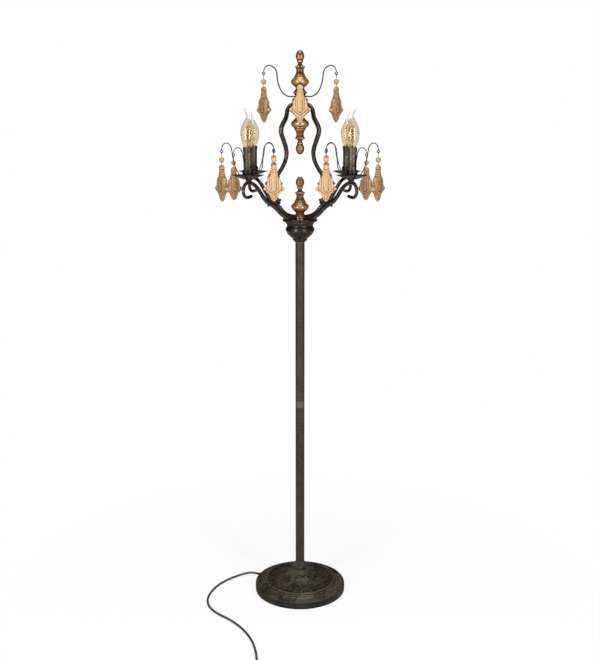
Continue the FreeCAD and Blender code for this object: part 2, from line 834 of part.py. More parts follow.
def make_arm(number):
    s = size
    tag = "arm_%d" % number
    stations = arm_stations()
    crest = stations[-1]
    tail = [
        crest,
        (s.arm_reach + 16.4, s.arm_crest - 21.0, -90.0),
        (s.arm_reach + 4.2, s.arm_crest - 36.6, -180.0),
        (s.arm_reach - 10.8, s.arm_crest - 33.8, -202.0),
    ]
    pieces = [
        bar(tag + "_inner", flowing(stations[:4]), s.arm_radius),
        bar(tag + "_outer", flowing(stations[3:]), s.arm_radius, s.arm_tip_radius),
        bar(tag + "_tail", flowing(tail), s.arm_tip_radius, s.scroll_tip_radius),
        cylinder(
            tag + "_stem",
            s.stem_radius,
            s.pan_bottom - 0.1 - s.arm_crest,
            at(s.arm_reach, 0, s.arm_crest),
        ),
        cylinder(
            tag + "_thread",
            s.stem_thread,
            s.pan_floor + 6.5 - s.arm_crest,
            at(s.arm_reach, 0, s.arm_crest),
        ),
    ]
    whole = fuse(tag + "_welded", pieces)
    screw = cylinder(
        tag + "_screw_hole",
        s.screw_radius + s.thread_clear,
        9.0,
        at(s.screw_reach, 0, s.cup_top + s.plate_thick - 2.0),
    )
    point, way = foot_bolt_line()
    bolt_hole = cylinder(
        tag + "_bolt_hole",
        s.bolt_radius + 0.1,
        60.0,
        lying(way, point.x - 10.0 * way.x, 0, point.z - 10.0 * way.z),
    )
    head_seat = cylinder(
        tag + "_head_seat",
        s.bolt_radius * 2.0 + 0.3,
        10.0,
        lying(way, point.x + 30.55 * way.x, 0, point.z + 30.55 * way.z),
    )
    holed = cut(tag + "_holed", whole, fuse(tag + "_holes", [screw, bolt_hole, head_seat]))
    keep(holed, tag, at(turn=45.0 + 90.0 * (number - 1)))


def make_lyre_bar(number):
    s = size
    tag = "lyre_bar_%d" % number
    rod = bar(tag + "_rod", flowing(lyre_stations()), s.bar_radius)
    point, way = foot_bolt_line()
    hole = cylinder(
        tag + "_bolt_hole",
        s.bolt_radius + 0.1,
        40.0,
        lying(way, point.x - 20.0 * way.x, 0, point.z - 20.0 * way.z),
    )
    keep(cut(tag + "_holed", rod, hole), tag, at(turn=45.0 + 90.0 * (number - 1)))


def make_lyre_bolts():
    """Four bolts, each with its nut on the inner side of the bar."""
    s = size
    point, way = foot_bolt_line()
    bolts = []
    for number in range(1, 5):
        tag = "lyre_bolt_%d" % number
        shank = cylinder(
            tag + "_shank",
            s.bolt_radius,
            44.0,
            lying(way, point.x - 13.0 * way.x, 0, point.z - 13.0 * way.z),
        )
        nut = cylinder(
            tag + "_nut",
            s.bolt_radius * 2.1,
            2.6,
            lying(way, point.x - 9.6 * way.x, 0, point.z - 9.6 * way.z),
        )
        head = cylinder(
            tag + "_head",
            s.bolt_radius * 2.0,
            2.2,
            lying(way, point.x + 30.6 * way.x, 0, point.z + 30.6 * way.z),
        )
        bolt = fuse(tag, [shank, nut, head])
        bolt.Placement = at(turn=45.0 + 90.0 * (number - 1))
        bolts.append(bolt)
    keep(group("lyre_bolt_set", bolts), "lyre_bolts")


# ---------------------------------------------------------------- top hub, finials


def make_hub():
    s = size
    low, high = s.hub_bottom, s.hub_top
    keep(
        turned(
            "hub_body",
            [
                (0.0, low - s.stud_length),
                (s.stud_radius, low - s.stud_length),
                (s.stud_radius, low),
                (s.hub_foot_radius, low),
                (s.hub_foot_radius, low + 3.0),
                (s.hub_foot_radius - 3.3, low + 7.0, -5.0),
                (s.hub_foot_radius - 2.0, low + 11.0),
                (s.hub_drum_radius, s.bar_height - 6.0),
                (s.hub_drum_radius, s.bar_height + 5.6),
                (s.hub_flange_radius, s.bar_height + 6.6),
                (s.hub_flange_radius, s.bar_height + 12.4),
                (s.hub_flange_radius - 1.6, s.bar_height + 14.6, 2.4),
                (s.hub_flange_radius - 1.8, s.bar_height + 15.8),
                (s.hub_neck_radius, s.hook_height - 2.4),
                (s.hub_neck_radius, high - 4.0),
                (s.hub_foot_radius, high - 2.0),
                (s.hub_foot_radius, high),
                (s.stud_radius, high),
                (s.stud_radius, high + s.stud_length),
                (0.0, high + s.stud_length),
            ],
        ),
        "top_hub",
    )


def make_finial(label, plinth, hole_radius, placement):
    """A turned wooden finial, foot down at its own origin, with a blind hole for its stud."""
    s = size
    foot = plinth
    tip = s.finial_height + plinth
    hole_depth = s.stud_length + 1.0 + plinth
    corners = [(hole_radius, 0.0), (s.finial_foot - 1.2, 0.0)]
    if float(plinth) > 0.0:
        corners.append((s.finial_foot - 1.2, plinth))
    corners += [
        (s.finial_foot, foot + 1.4, 1.1),
        (s.finial_foot - 3.4, foot + 5.2, -7.0),
        (s.finial_neck + 0.4, foot + 10.5, -14.0),
        (s.finial_neck, foot + 12.5),
        (s.finial_neck + 1.6, foot + 15.5, -6.0),
        (s.ball_radius - 1.4, foot + 25.4, -32.0),
        (s.ball_radius - 0.6, foot + 32.4, 4.6),
        (s.finial_foot + 1.6, foot + 37.2, 9.0),
        (s.finial_foot - 2.4, foot + 38.6),
        (s.finial_foot - 2.8, foot + 42.4),
        (s.vase_radius - 2.2, foot + 48.5, -9.0),
        (s.vase_radius - 3.4, foot + 56.5, -20.0),
        (s.vase_radius - 1.2, foot + 63.5, -14.0),
        (s.vase_radius, foot + 67.2, 3.2),
        (s.acorn_radius - 5.2, foot + 71.0),
        (s.acorn_radius - 5.4, foot + 77.0),
        (s.acorn_radius - 3.0, foot + 79.0),
        (s.acorn_radius - 3.0, foot + 82.0, 1.7),
        (s.acorn_radius - 3.4, foot + 83.0),
        (s.acorn_radius, foot + 91.5, 12.0),
        (s.acorn_radius - 3.6, tip - 6.0, 19.0),
        (1.0, tip, 8.6),
        (0.0, tip),
        (0.0, hole_depth),
        (hole_radius, hole_depth),
    ]
    keep(turned(label + "_body", corners), label, placement)


def make_finials():
    s = size
    stud = s.stud_radius + s.thread_clear
    plate_top = s.cup_top + s.plate_thick
    upside_down = Rotation(Vector(1, 0, 0), 180.0)
    hub_low = Vector(0, 0, s.hub_bottom.value - 0.05)
    make_finial("finial_top", 0.0, stud, at(z=s.hub_top + 0.05))
    make_finial("finial_pendant", 0.0, stud, Placement(hub_low, upside_down))
    make_finial("finial_crown", s.crown_plinth, stud + 1.2, at(z=plate_top + 0.05))


# ---------------------------------------------------------------- pans, sleeves, bulbs

# Sideways and depth signs of the pans, in the arms' order.
CORNERS = [(1, 1), (-1, 1), (-1, -1), (1, -1)]


def pan_place(number):
    """Where the pan on an arm stands."""
    side, depth = CORNERS[number - 1]
    offset = size.arm_reach.value * math.sqrt(0.5)
    return side * offset, depth * offset


def make_candle(number):
    s = size
    x, y = pan_place(number)
    here = at(x, y, 0)
    cup, top = s.candle_cup_radius, s.candle_cup_top
    seat = s.sleeve_radius + 0.1
    thread = s.stem_thread + 0.1
    pan = turned(
        "drip_pan_%d_body" % number,
        [
            (thread, s.pan_bottom),
            (cup, s.pan_bottom + 0.4),
            (s.pan_radius - 9.0, s.pan_rim - 4.0, 60.0),
            (s.pan_radius, s.pan_rim - 1.4, -40.0),
            (s.pan_radius, s.pan_rim),
            (s.pan_radius - 9.6, s.pan_rim - 2.4, 40.0),
            (cup - 0.3, s.pan_bottom + 3.4, -60.0),
            (cup - 0.3, s.pan_bottom + 12.5),
            (cup + 0.5, s.pan_bottom + 14.0),
            (cup + 0.5, top - 1.6),
            (cup - 0.4, top, 1.6),
            (seat, top),
            (seat, s.pan_floor),
            (thread, s.pan_floor),
        ],
    )
    keep(pan, "drip_pan_%d" % number, here)

    inner = s.sleeve_radius - s.sleeve_wall
    sleeve = turned(
        "sleeve_%d_body" % number,
        [
            (inner, s.pan_floor + 0.05),
            (s.sleeve_radius, s.pan_floor + 0.05),
            (s.sleeve_radius, s.sleeve_top - 13.5),
            (s.sleeve_lip - 0.3, s.sleeve_top - 11.5),
            (s.sleeve_lip, s.sleeve_top - 1.0),
            (s.sleeve_lip - 0.8, s.sleeve_top, 0.95),
            (inner, s.sleeve_top),
        ],
    )
    keep(sleeve, "candle_sleeve_%d" % number, here)

    post = s.stem_thread + s.thread_clear
    holder = turned(
        "holder_%d" % number,
        [
            (0.0, s.pan_floor + 7.0),
            (post, s.pan_floor + 7.0),
            (post, s.pan_floor + 0.05),
            (s.holder_radius - 1.2, s.pan_floor + 0.05),
            (s.holder_radius - 1.2, s.pan_floor + 8.0),
            (s.holder_radius - 4.0, s.pan_floor + 10.5),
            (s.holder_radius - 4.0, s.pan_floor + 21.0),
            (s.holder_radius, s.pan_floor + 24.0),
            (s.holder_radius, s.holder_top),
            (s.cap_radius + 0.3, s.holder_top),
            (s.cap_radius + 0.3, s.holder_top - s.cap_length + 4.0),
            (0.0, s.holder_top - s.cap_length + 4.0),
        ],
    )
    holder.Placement = here

    cap_low = s.holder_top - s.cap_length + 4.1
    cap_top = cap_low + s.cap_length
    cap = turned(
        "bulb_cap_%d" % number,
        [
            (0.0, cap_low),
            (2.6, cap_low),
            (s.cap_radius - 1.6, cap_low + 2.6),
            (s.cap_radius, cap_low + 4.4),
            (s.cap_radius, cap_top - 5.0),
            (s.cap_radius + 1.0, cap_top),
            (0.0, cap_top),
        ],
    )
    cap.Placement = here

    shoulder = s.glass_tip - 24.0
    low = cap_top + 0.05
    wide = s.glass_radius

    def envelope(name, inset):
        """The bulb's turned body, or its hollow when inset by the glass."""
        return turned(
            name,
            [
                (0.0, low + inset),
                (s.cap_radius + 0.8 - inset, low + inset),
                (wide * 0.70 - inset, low + 6.4, 30.0),
                (wide - inset, low + 32.0, 40.0),
                (wide * 0.62 - inset, shoulder - 11.0, 46.0),
                (4.3 - inset, shoulder, -52.0),
                (0.0, shoulder),
            ],
        )

    side = CORNERS[number - 1][0]
    tail_nodes = [
        (0.0, shoulder - 0.02, 90.0),
        (0.0, shoulder + 8.0, 90.0),
        (s.glass_lean, s.glass_tip, 32.0),
    ]
    tail = bar("glass_tail_%d" % number, flowing(tail_nodes), 4.3, 1.1)
    solid = fuse("glass_solid_%d" % number, [envelope("glass_skin_%d" % number, 0.0), tail])
    glass = cut(
        "glass_shell_%d" % number, solid, envelope("glass_hollow_%d" % number, s.glass_wall)
    )
    keep(glass, "bulb_glass_%d" % number, at(x, y, 0, turn=0.0 if side > 0 else 180.0))

    hollow = cap_top + s.glass_wall
    rods = [
        cylinder("bulb_%d_mount" % number, 2.6, 9.0, at(z=hollow + 0.1)),
        cylinder("bulb_%d_mast" % number, 0.6, 46.0, at(z=hollow + 5.0)),
        cylinder(
            "bulb_%d_foot_wire" % number, s.filament_spread + 0.6, 0.7, at(z=hollow + 13.5)
        ),
        cylinder(
            "bulb_%d_head_wire" % number, s.filament_spread + 0.6, 0.7, at(z=hollow + 50.0)
        ),
    ]
    for turn in range(4):
        angle = math.radians(20.0 + 90.0 * turn)
        spot = at(
            s.filament_spread.value * math.cos(angle),
            s.filament_spread.value * math.sin(angle),
            hollow + 13.8,
        )
        rods.append(cylinder("bulb_%d_filament_%d" % (number, turn + 1), s.filament_radius, 36.6, spot))
    filaments = fuse("bulb_%d_filaments" % number, rods)
    filaments.Placement = here
    return holder, cap, filaments


def make_candles():
    holders, caps, filaments = zip(*[make_candle(number) for number in range(1, 5)])
    keep(group("holder_set", list(holders)), "lampholders")
    keep(group("cap_set", list(caps)), "bulb_caps")
    keep(group("filament_set", list(filaments)), "bulb_filaments")


# ---------------------------------------------------------------- hooks and pendants


def eye(name, out, pivot, radius):
    """A closed eye at a hook's end, in the hook's own upright plane."""
    s = size
    ring = doc.addObject("Part::Torus", name)
    bind(ring, Radius1=s.eye_radius, Radius2=radius)
    centre = Vector(float(out), 0, float(pivot) + s.eye_radius.value)
    ring.Placement = Placement(centre, Rotation(Vector(1, 0, 0), 90.0))
    return ring


def hub_hook(number):
    s = size
    out, pivot = s.hub_hook_reach, s.hub_hook_pivot
    top = pivot + s.eye_radius * 2.0
    nodes = [
        (s.hub_neck_radius + 0.05, s.hook_height, 0.0),
        (s.hub_neck_radius + 11.6, s.hook_height, 0.0),
        (out - 33.8, pivot + 3.0, 86.0),
        (out - 13.6, pivot + 23.2, 0.0),
        (out, top, -90.0),
    ]
    wire = bar("hub_hook_%d_wire" % number, flowing(nodes), s.hub_wire, s.eye_wire)
    hook = fuse("hub_hook_%d" % number, [wire, eye("hub_hook_%d_eye" % number, out, pivot, s.eye_wire)])
    hook.Placement = at(turn=90.0 * (number - 1))
    return hook


# Side of the pan (+1 outward, -1 inward) and the sizes of the hook there, front and rear.
def pan_hook_sizes(depth, outward):
    s = size
    if depth < 0:
        return s.front_reach, s.front_pivot
    if outward:
        return s.rear_outer_reach, s.rear_outer_pivot
    return s.rear_inner_reach, s.rear_inner_pivot


def pan_hook(number, outward):
    s = size
    side, depth = CORNERS[number - 1]
    out, pivot = pan_hook_sizes(depth, outward)
    tag = "pan_%d_%s_hook" % (number, "outer" if outward else "inner")
    top = pivot + s.eye_radius * 2.0
    nodes = [
        (s.candle_cup_radius - 0.25, s.pan_bottom + 7.0, 0.0),
        (s.candle_cup_radius + 8.6, s.pan_bottom + 12.6, 55.0),
        (out - 29.0, pivot - 18.0, 78.0),
        (out - 25.4, pivot + 6.0, 84.0),
        (out - 12.0, pivot + 23.6, 0.0),
        (out, top, -90.0),
    ]
    wire = bar(tag + "_wire", flowing(nodes), s.pan_wire, s.eye_wire)
    hook = fuse(tag, [wire, eye(tag + "_eye", out, pivot, s.eye_wire)])
    x, y = pan_place(number)
    points_right = (side > 0) == outward
    hook.Placement = at(x, y, 0, turn=0.0 if points_right else 180.0)
    return hook


def pendant_places():
    """Each pendant: its pivot, the direction of its hook and its own turn about the pin."""
    s = size
    found = []
    for number in range(4):
        angle = math.radians(90.0 * number)
        x = s.hub_hook_reach.value * math.cos(angle)
        y = s.hub_hook_reach.value * math.sin(angle)
        yaw = {0: 50.0, 1: 0.0, 2: -50.0, 3: 0.0}[number]
        found.append((Vector(x, y, s.hub_hook_pivot.value), 90.0 * number, yaw))
    for number in range(1, 5):
        side, depth = CORNERS[number - 1]
        for outward in (True, False):
            out, pivot = pan_hook_sizes(depth, outward)
            x, y = pan_place(number)
            way = side if outward else -side
            yaw = 0.0
            if outward:
                yaw = side * (50.0 if depth < 0 else -37.0)
            elif depth > 0:
                yaw = side * 24.0
            spot = Vector(x + way * out.value, y, pivot.value)
            found.append((spot, 0.0 if way > 0 else 180.0, yaw))
    return found


def drop_outline():
    """The carved drop's outline, its top middle at the origin, hanging down."""
    s = size
    half = s.drop_width / 2.0
    long = s.drop_length
    right = [
        (3.4, 0.0),
        (7.6, -6.0, -6.5),
        (7.4, -15.0, -6.4),
        (6.6, -17.4),
        (8.6, -21.0, -3.2),
        (15.2, -36.0, -22.0),
        (16.4, -46.0, -30.0),
        (half - 4.6, -52.4, 9.0),
        (half - 1.0, -55.0),
        (half - 1.4, -61.0, -3.6),
        (half - 7.0, -64.2, 14.0),
        (14.4, -69.6, -9.0),
        (10.8, -73.6, 6.0),
        (9.8, -80.0, -5.0),
        (7.6, -82.0, 3.0),
        (3.6, 2.6 - long, -7.0),
    ]
    left = []
    for index in range(len(right) - 1, -1, -1):
        x, y = right[index][0], right[index][1]
        following = right[index + 1] if index + 1 < len(right) else None
        if following is None:
            left.append((-x, y, -4.6))
        elif len(following) == 3:
            left.append((-x, y, following[2]))
        else:
            left.append((-x, y))
    return right + left


def make_pendant(number, pivot, hook_turn, yaw):
    s = size
    tag = "pendant_%d" % number
    ring_centre = s.eye_wire + s.ring_clear + s.ring_wire - s.ring_radius_pin
    ring = doc.addObject("Part::Torus", tag + "_ring")
    bind(ring, Radius1=s.ring_radius_pin, Radius2=s.ring_wire)
    ring.Placement = Placement(
        Vector(0, 0, ring_centre.value), Rotation(Vector(0, 1, 0), 90.0)
    )
    pin_top = ring_centre - s.ring_radius_pin - s.ring_wire + 0.5
    pin_low = -s.drop_start - 8.0
    pin = cylinder(tag + "_shaft", s.pin_radius, pin_top - pin_low, at(z=pin_low))
    stop = cylinder(
        tag + "_stop", s.pin_radius + 0.8, 1.8, at(z=-s.bead_drop - s.bead_radius - 2.0)
    )
    eye_pin = fuse(tag + "_pin", [ring, pin, stop])
    eye_pin.Placement = at(turn=hook_turn)

    ball = doc.addObject("Part::Sphere", tag + "_ball")
    bind(ball, Radius=s.bead_radius)
    ball.Placement = at(z=-s.bead_drop)
    bead_hole = cylinder(
        tag + "_bead_hole", s.pin_radius + 0.05, 20.0, at(z=-s.bead_drop - 10.0)
    )
    bead = cut(tag + "_bead", ball, bead_hole)

    plate = padded(tag + "_drop_plate", drop_outline(), s.drop_thick)
    crown_radius = 230.0
    lenses = []
    for face in (-1, 1):
        lens = doc.addObject("Part::Sphere", "%s_lens_%s" % (tag, "front" if face < 0 else "back"))
        lens.Radius = crown_radius
        lens.Placement = at(0, face * (crown_radius - s.drop_thick.value / 2.0), -s.drop_length * 0.52)
        lenses.append(lens)
    carved = doc.addObject("Part::MultiCommon", tag + "_drop_crowned")
    carved.Shapes = [plate] + lenses
    drop_hole = cylinder(tag + "_drop_hole", s.pin_radius + 0.05, 8.6, at(z=-8.5))
    drop = cut(tag + "_drop", carved, drop_hole)
    drop.Placement = at(z=-s.drop_start, turn=yaw)

    hung = group(tag + "_set", [eye_pin, bead, drop])
    keep(hung, tag, Placement(pivot, Rotation()))


def make_hooks_and_pendants():
    keep(group("hub_hook_set", [hub_hook(number) for number in range(1, 5)]), "hub_hooks")
    hooks = []
    for number in range(1, 5):
        hooks += [pan_hook(number, True), pan_hook(number, False)]
    keep(group("pan_hook_set", hooks), "pan_hooks")
    for number, (pivot, hook_turn, yaw) in enumerate(pendant_places(), start=1):
        make_pendant(number, pivot, hook_turn, yaw)


# ---------------------------------------------------------------- cord, switch, plug

# The cord's route over the floor from the strain relief's tip to the switch. The first two
# points are worked out from the inlet, and the last from the switch. (x, y, height over floor)
CORD_ROUTE = [
    (-154.2, 77.8, 4.4),
    (-178.9, 69.0, 1.6),
    (-208.4, 47.6, 0.0),
    (-235.6, 15.0, 0.0),
    (-254.0, -27.0, 0.0),
    (-262.6, -72.0, 0.0),
    (-254.4, -116.0, 0.0),
    (-229.0, -153.0, 0.0),
    (-190.0, -186.0, 0.0),
    (-155.0, -229.0, 0.0),
    (-127.0, -283.0, 0.0),
    (-112.0, -341.0, 0.0),
    (-107.0, -396.0, 0.0),
]


def cord_points():
    """The corners of the cord's route in order."""
    s = size
    angle = math.radians(s.inlet_angle.value)
    outward = Vector(math.cos(angle), math.sin(angle), 0)
    tip = s.base_radius.value + s.relief_reach.value
    level = Vector(0, 0, s.inlet_height.value)
    start = outward * tip + level
    first = outward * (tip + 16.0) + level
    row = s.coil_y.value + s.coil_radius.value
    end = Vector(switch_start(), row, s.cord_height.value)
    before = Vector(end.x - 37.0, row, s.cord_height.value)
    rest = [Vector(x, y, s.cord_height.value + lift) for x, y, lift in CORD_ROUTE]
    return [start, first] + rest + [before, end]


def switch_start():
    """Where the switch's near end stands, sideways."""
    s = size
    return s.coil_x.value - 50.0 - s.switch_length.value


def rounded_path(points):
    """Straight runs joined by arcs as large as the runs allow. Returns edges and the radii."""
    edges, radii = [], []
    last = points[0]
    for before, corner, after in zip(points, points[1:], points[2:]):
        back, forward = before.sub(corner), after.sub(corner)
        leg = 0.45 * min(back.Length, forward.Length)
        turn = math.pi - back.getAngle(forward)
        radii.append(leg / math.tan(turn / 2.0))
        enter = corner + back * (leg / back.Length)
        leave = corner + forward * (leg / forward.Length)
        edges.append(Part.LineSegment(last, enter).toShape())
        edges.append(bent(enter, corner, leave))
        last = leave
    edges.append(Part.LineSegment(last, points[-1]).toShape())
    return edges, radii


def solid_along(edges, radius):
    """A round tube along joined edges."""
    path = Part.Wire(edges)
    first = edges[0]
    way = first.tangentAt(first.FirstParameter)
    circle = Part.Circle(first.valueAt(first.FirstParameter), way, radius)
    shell = path.makePipeShell([Part.Wire([circle.toShape()])], True, False)
    expected = math.pi * radius * radius * path.Length
    print("tube volume over section times length: %.5f" % (shell.Volume / expected))
    return shell


def make_cord():
    s = size
    edges, radii = rounded_path(cord_points())
    print("cord bend radii:", ", ".join("%.0f" % radius for radius in radii))
    print("cord length to the switch: %.0f" % Part.Wire(edges).Length)
    cord = doc.addObject("Part::Feature", "cord_tube")
    cord.Shape = solid_along(edges, s.cord_radius.value)
    keep(cord, "cord")


def coil_line():
    """The coil in its own frame: in along +X at the far side, two layers, out along -X."""
    s = size
    outer = s.coil_radius.value
    pitch = 2.0 * s.cord_radius.value + s.coil_gap.value
    low, high = s.cord_height.value, s.cord_height.value + pitch
    inward = [outer - pitch / 2.0 * step for step in range(4)]
    spans = inward + [outer - 2.0 * pitch] + inward[::-1]
    across, edges = outer, []
    start = Vector(-50.0, outer, low)
    edges.append(Part.LineSegment(start, Vector(0, outer, low)).toShape())
    sign = 1.0
    for turn, radius in enumerate(spans):
        after = across - sign * 2.0 * radius
        begin = low if turn <= len(inward) else high
        end = low if turn < len(inward) else high
        way = Vector(sign, 0, 0)
        edges += two_arcs(Vector(0, across, begin), way, Vector(0, after, end), way * -1.0)
        across = after
        sign = -sign
    edges.append(Part.LineSegment(Vector(0, across, high), Vector(-40.0, across, high)).toShape())
    return edges


def least_gap(edges, thickness):
    """The least gap between stretches of a line that are not next to each other."""
    points, walked = [], []
    total = 0.0
    for edge in edges:
        count = max(4, int(edge.Length / 4.0))
        for step in range(count):
            share = step / float(count)
            parameter = edge.FirstParameter + share * (edge.LastParameter - edge.FirstParameter)
            points.append(edge.valueAt(parameter))
            walked.append(total + share * edge.Length)
        total += edge.Length
    nearest = 1e9
    for one in range(len(points)):
        for other in range(one + 1, len(points)):
            if walked[other] - walked[one] > 6.0 * thickness:
                nearest = min(nearest, points[one].distanceToPoint(points[other]))
    return nearest - thickness


def make_coil():
    s = size
    edges = coil_line()
    print("coil length: %.0f" % Part.Wire(edges).Length)
    print("coil least gap to itself: %.2f" % least_gap(edges, 2.0 * s.cord_radius.value))
    coil = doc.addObject("Part::Feature", "coil_tube")
    coil.Shape = solid_along(edges, s.cord_radius.value)
    keep(coil, "cord_coil", at(s.coil_x, s.coil_y, 0))


def make_switch():
    """A foot switch: a low moulded body with a round button, its middle line on the cord."""
    s = size
    row = s.coil_y.value + s.coil_radius.value
    middle = switch_start() + s.switch_length.value / 2.0
    long, wide = s.switch_length / 2.0, s.switch_width / 2.0
    body = padded(
        "switch_plate",
        [
            (-long, -5.0),
            (-long + 14.0, -wide, 40.0),
            (long - 14.0, -wide, 90.0),
            (long, -5.0, 40.0),
            (long, 5.0),
            (long - 14.0, wide, 40.0),
            (-long + 14.0, wide, 90.0),
            (-long, 5.0, 40.0),
        ],
        s.switch_height,
        plane="XY_Plane",
        midplane=False,
    )
    dome_radius = 160.0
    dome = doc.addObject("Part::Sphere", "switch_dome")
    dome.Radius = dome_radius
    dome.Placement = at(z=s.switch_height.value - dome_radius)
    shaped = doc.addObject("Part::MultiCommon", "switch_shaped")
    shaped.Shapes = [body, dome]
    well = cylinder(
        "switch_well",
        s.button_radius + 0.3,
        s.switch_height,
        at(z=s.switch_height - 8.0),
    )
    keep(cut("switch_with_well", shaped, well), "switch_body", at(middle, row, 0))

    low = s.switch_height - 8.0 + s.button_travel + 0.4
    high = s.switch_height + s.button_proud
    button = turned(
        "button_body",
        [
            (0.0, low),
            (s.button_radius, low),
            (s.button_radius, high - 2.0),
            (s.button_radius - 2.0, high, 2.0),
            (0.0, high),
        ],
    )
    keep(button, "switch_button", at(middle, row, 0))


def make_plug():
    """A two-blade plug that lies flat, its middle level with the coil's upper layer."""
    s = size
    pitch = 2.0 * s.cord_radius.value + s.coil_gap.value
    level = s.cord_height.value + pitch
    row = s.coil_y.value - s.coil_radius.value
    entry = s.coil_x.value - 40.0
    half = s.plug_width / 2.0
    relief = s.plug_relief
    long = s.plug_relief + s.plug_body
    body = padded(
        "plug_plate",
        [
            (0.0, -s.cord_radius - 0.6),
            (relief, -s.cord_radius - 2.6),
            (relief + 7.0, -half + 2.0, -14.0),
            (long - 4.0, -half),
            (long, 4.0 - half, 4.0),
            (long, half - 4.0),
            (long - 4.0, half, 4.0),
            (relief + 7.0, half - 2.0),
            (relief, s.cord_radius + 2.6, -14.0),
            (0.0, s.cord_radius + 0.6),
        ],
        level * 2.0 - 0.4,
        plane="XY_Plane",
    )
    side = padded(
        "plug_side",
        [
            (0.0, -s.cord_radius - 0.6),
            (relief, -s.cord_radius - 2.2),
            (relief + 8.0, 0.2 - level, -16.0),
            (long - 3.0, 0.2 - level),
            (long, 3.2 - level, 3.0),
            (long, level - 3.2),
            (long - 3.0, level - 0.2, 3.0),
            (relief + 8.0, level - 0.2),
            (relief, s.cord_radius + 2.2, -16.0),
            (0.0, s.cord_radius + 0.6),
        ],
        s.plug_width * 1.2,
        plane="XZ_Plane",
    )
    moulded = doc.addObject("Part::MultiCommon", "plug_moulding")
    moulded.Shapes = [body, side]
    turned_back = Placement(Vector(entry, row, level), Rotation(Vector(0, 0, 1), 180.0))
    keep(moulded, "plug_body", turned_back)

    blades = []
    for face in (-1, 1):
        blade = doc.addObject("Part::Box", "plug_blade_%s" % ("left" if face < 0 else "right"))
        bind(blade, Length=s.blade_length, Width=1.5, Height=6.3)
        blade.Placement = at(
            long.value + 0.02, face * s.blade_pitch.value / 2.0 - 0.75, -3.15
        )
        blades.append(blade)
    keep(group("plug_blade_set", blades), "plug_blades", turned_back)


# ---------------------------------------------------------------- build, check and export

make_base()
make_grommet()
make_pole()
make_crown()
for count in range(1, 5):
    make_arm(count)
for count in range(1, 5):
    make_lyre_bar(count)
make_lyre_bolts()
make_hub()
make_finials()
make_candles()
make_hooks_and_pendants()
make_cord()
make_coil()
make_switch()
make_plug()

doc.recompute()

failed = [o for o in doc.Objects if "Invalid" in o.State or "Error" in o.State]
for item in failed:
    print(item.Name, item.getStatusString())
if failed:
    raise RuntimeError("%d objects failed" % len(failed))
labels = [item.Label for item in SUBPARTS]
if len(set(labels)) != len(labels):
    raise RuntimeError("two sub-parts share a label")
for item in SUBPARTS:
    if item.Shape.isNull() or not item.Shape.isValid() or not item.Shape.Solids:
        raise RuntimeError("no valid solid in " + item.Label)

os.makedirs("parts", exist_ok=True)
for item in SUBPARTS:
    item.Shape.exportStep(os.path.join("parts", item.Label + ".step"))
print("%d sub-parts written" % len(SUBPARTS))
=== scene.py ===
"""Candlestick floor lamp: forged arms, turned finials and hanging carved drops."""

import math

import bmesh
import bpy
import numpy as np
from bpy.props import FloatProperty, FloatVectorProperty, PointerProperty
from mathutils import Matrix, Vector


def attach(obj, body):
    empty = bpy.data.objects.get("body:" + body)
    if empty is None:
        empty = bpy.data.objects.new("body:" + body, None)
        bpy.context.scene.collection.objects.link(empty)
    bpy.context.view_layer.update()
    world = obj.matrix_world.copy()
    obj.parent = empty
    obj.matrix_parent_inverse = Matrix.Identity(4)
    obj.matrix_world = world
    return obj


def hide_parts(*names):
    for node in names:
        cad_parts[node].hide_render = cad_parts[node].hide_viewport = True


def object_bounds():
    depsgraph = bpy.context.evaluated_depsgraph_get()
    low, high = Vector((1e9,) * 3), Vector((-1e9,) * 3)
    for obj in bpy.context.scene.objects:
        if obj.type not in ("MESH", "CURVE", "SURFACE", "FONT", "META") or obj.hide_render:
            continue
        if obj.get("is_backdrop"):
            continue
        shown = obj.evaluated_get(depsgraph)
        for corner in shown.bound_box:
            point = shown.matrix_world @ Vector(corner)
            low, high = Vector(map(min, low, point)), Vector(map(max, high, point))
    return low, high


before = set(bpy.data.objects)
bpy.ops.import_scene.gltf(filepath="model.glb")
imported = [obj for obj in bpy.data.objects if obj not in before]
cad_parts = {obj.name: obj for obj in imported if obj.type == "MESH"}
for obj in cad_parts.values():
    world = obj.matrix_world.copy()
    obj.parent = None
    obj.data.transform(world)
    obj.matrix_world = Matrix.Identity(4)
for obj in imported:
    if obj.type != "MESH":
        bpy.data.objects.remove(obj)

bl_info = {
    "name": "Candlestick Floor Lamp",
    "version": (1, 0, 0),
    "blender": (4, 5, 0),
    "location": "3D View > Sidebar > Lamp",
    "description": "Builds a candlestick floor lamp around its packed solids",
    "category": "Object",
}

CAD_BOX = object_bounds()
MM = 0.001

# ------------------------------------------------------------------ sizes and colours


def colour(name, default, note):
    return FloatVectorProperty(
        name=name, description=note, subtype="COLOR", size=3, min=0.0, max=1.0, default=default
    )


def length(name, default, note):
    return FloatProperty(
        name=name, description=note, unit="LENGTH", default=default * MM, precision=5
    )


class LampSizes(bpy.types.PropertyGroup):
    hammer_depth: length("Hammer marks", 0.7, "Depth of the strokes in the base's hammered band")
    forge_depth: length("Forge marks", 0.12, "How uneven the forged arms and bars are")
    carving_depth: length("Carving", 1.5, "Depth of the carving on the wooden drops")
    bead_radius: length("Bead", 6.7, "Radius of the wooden beads")
    cord_diameter: length("Cord", 6.5, "Diameter of the mains cord")


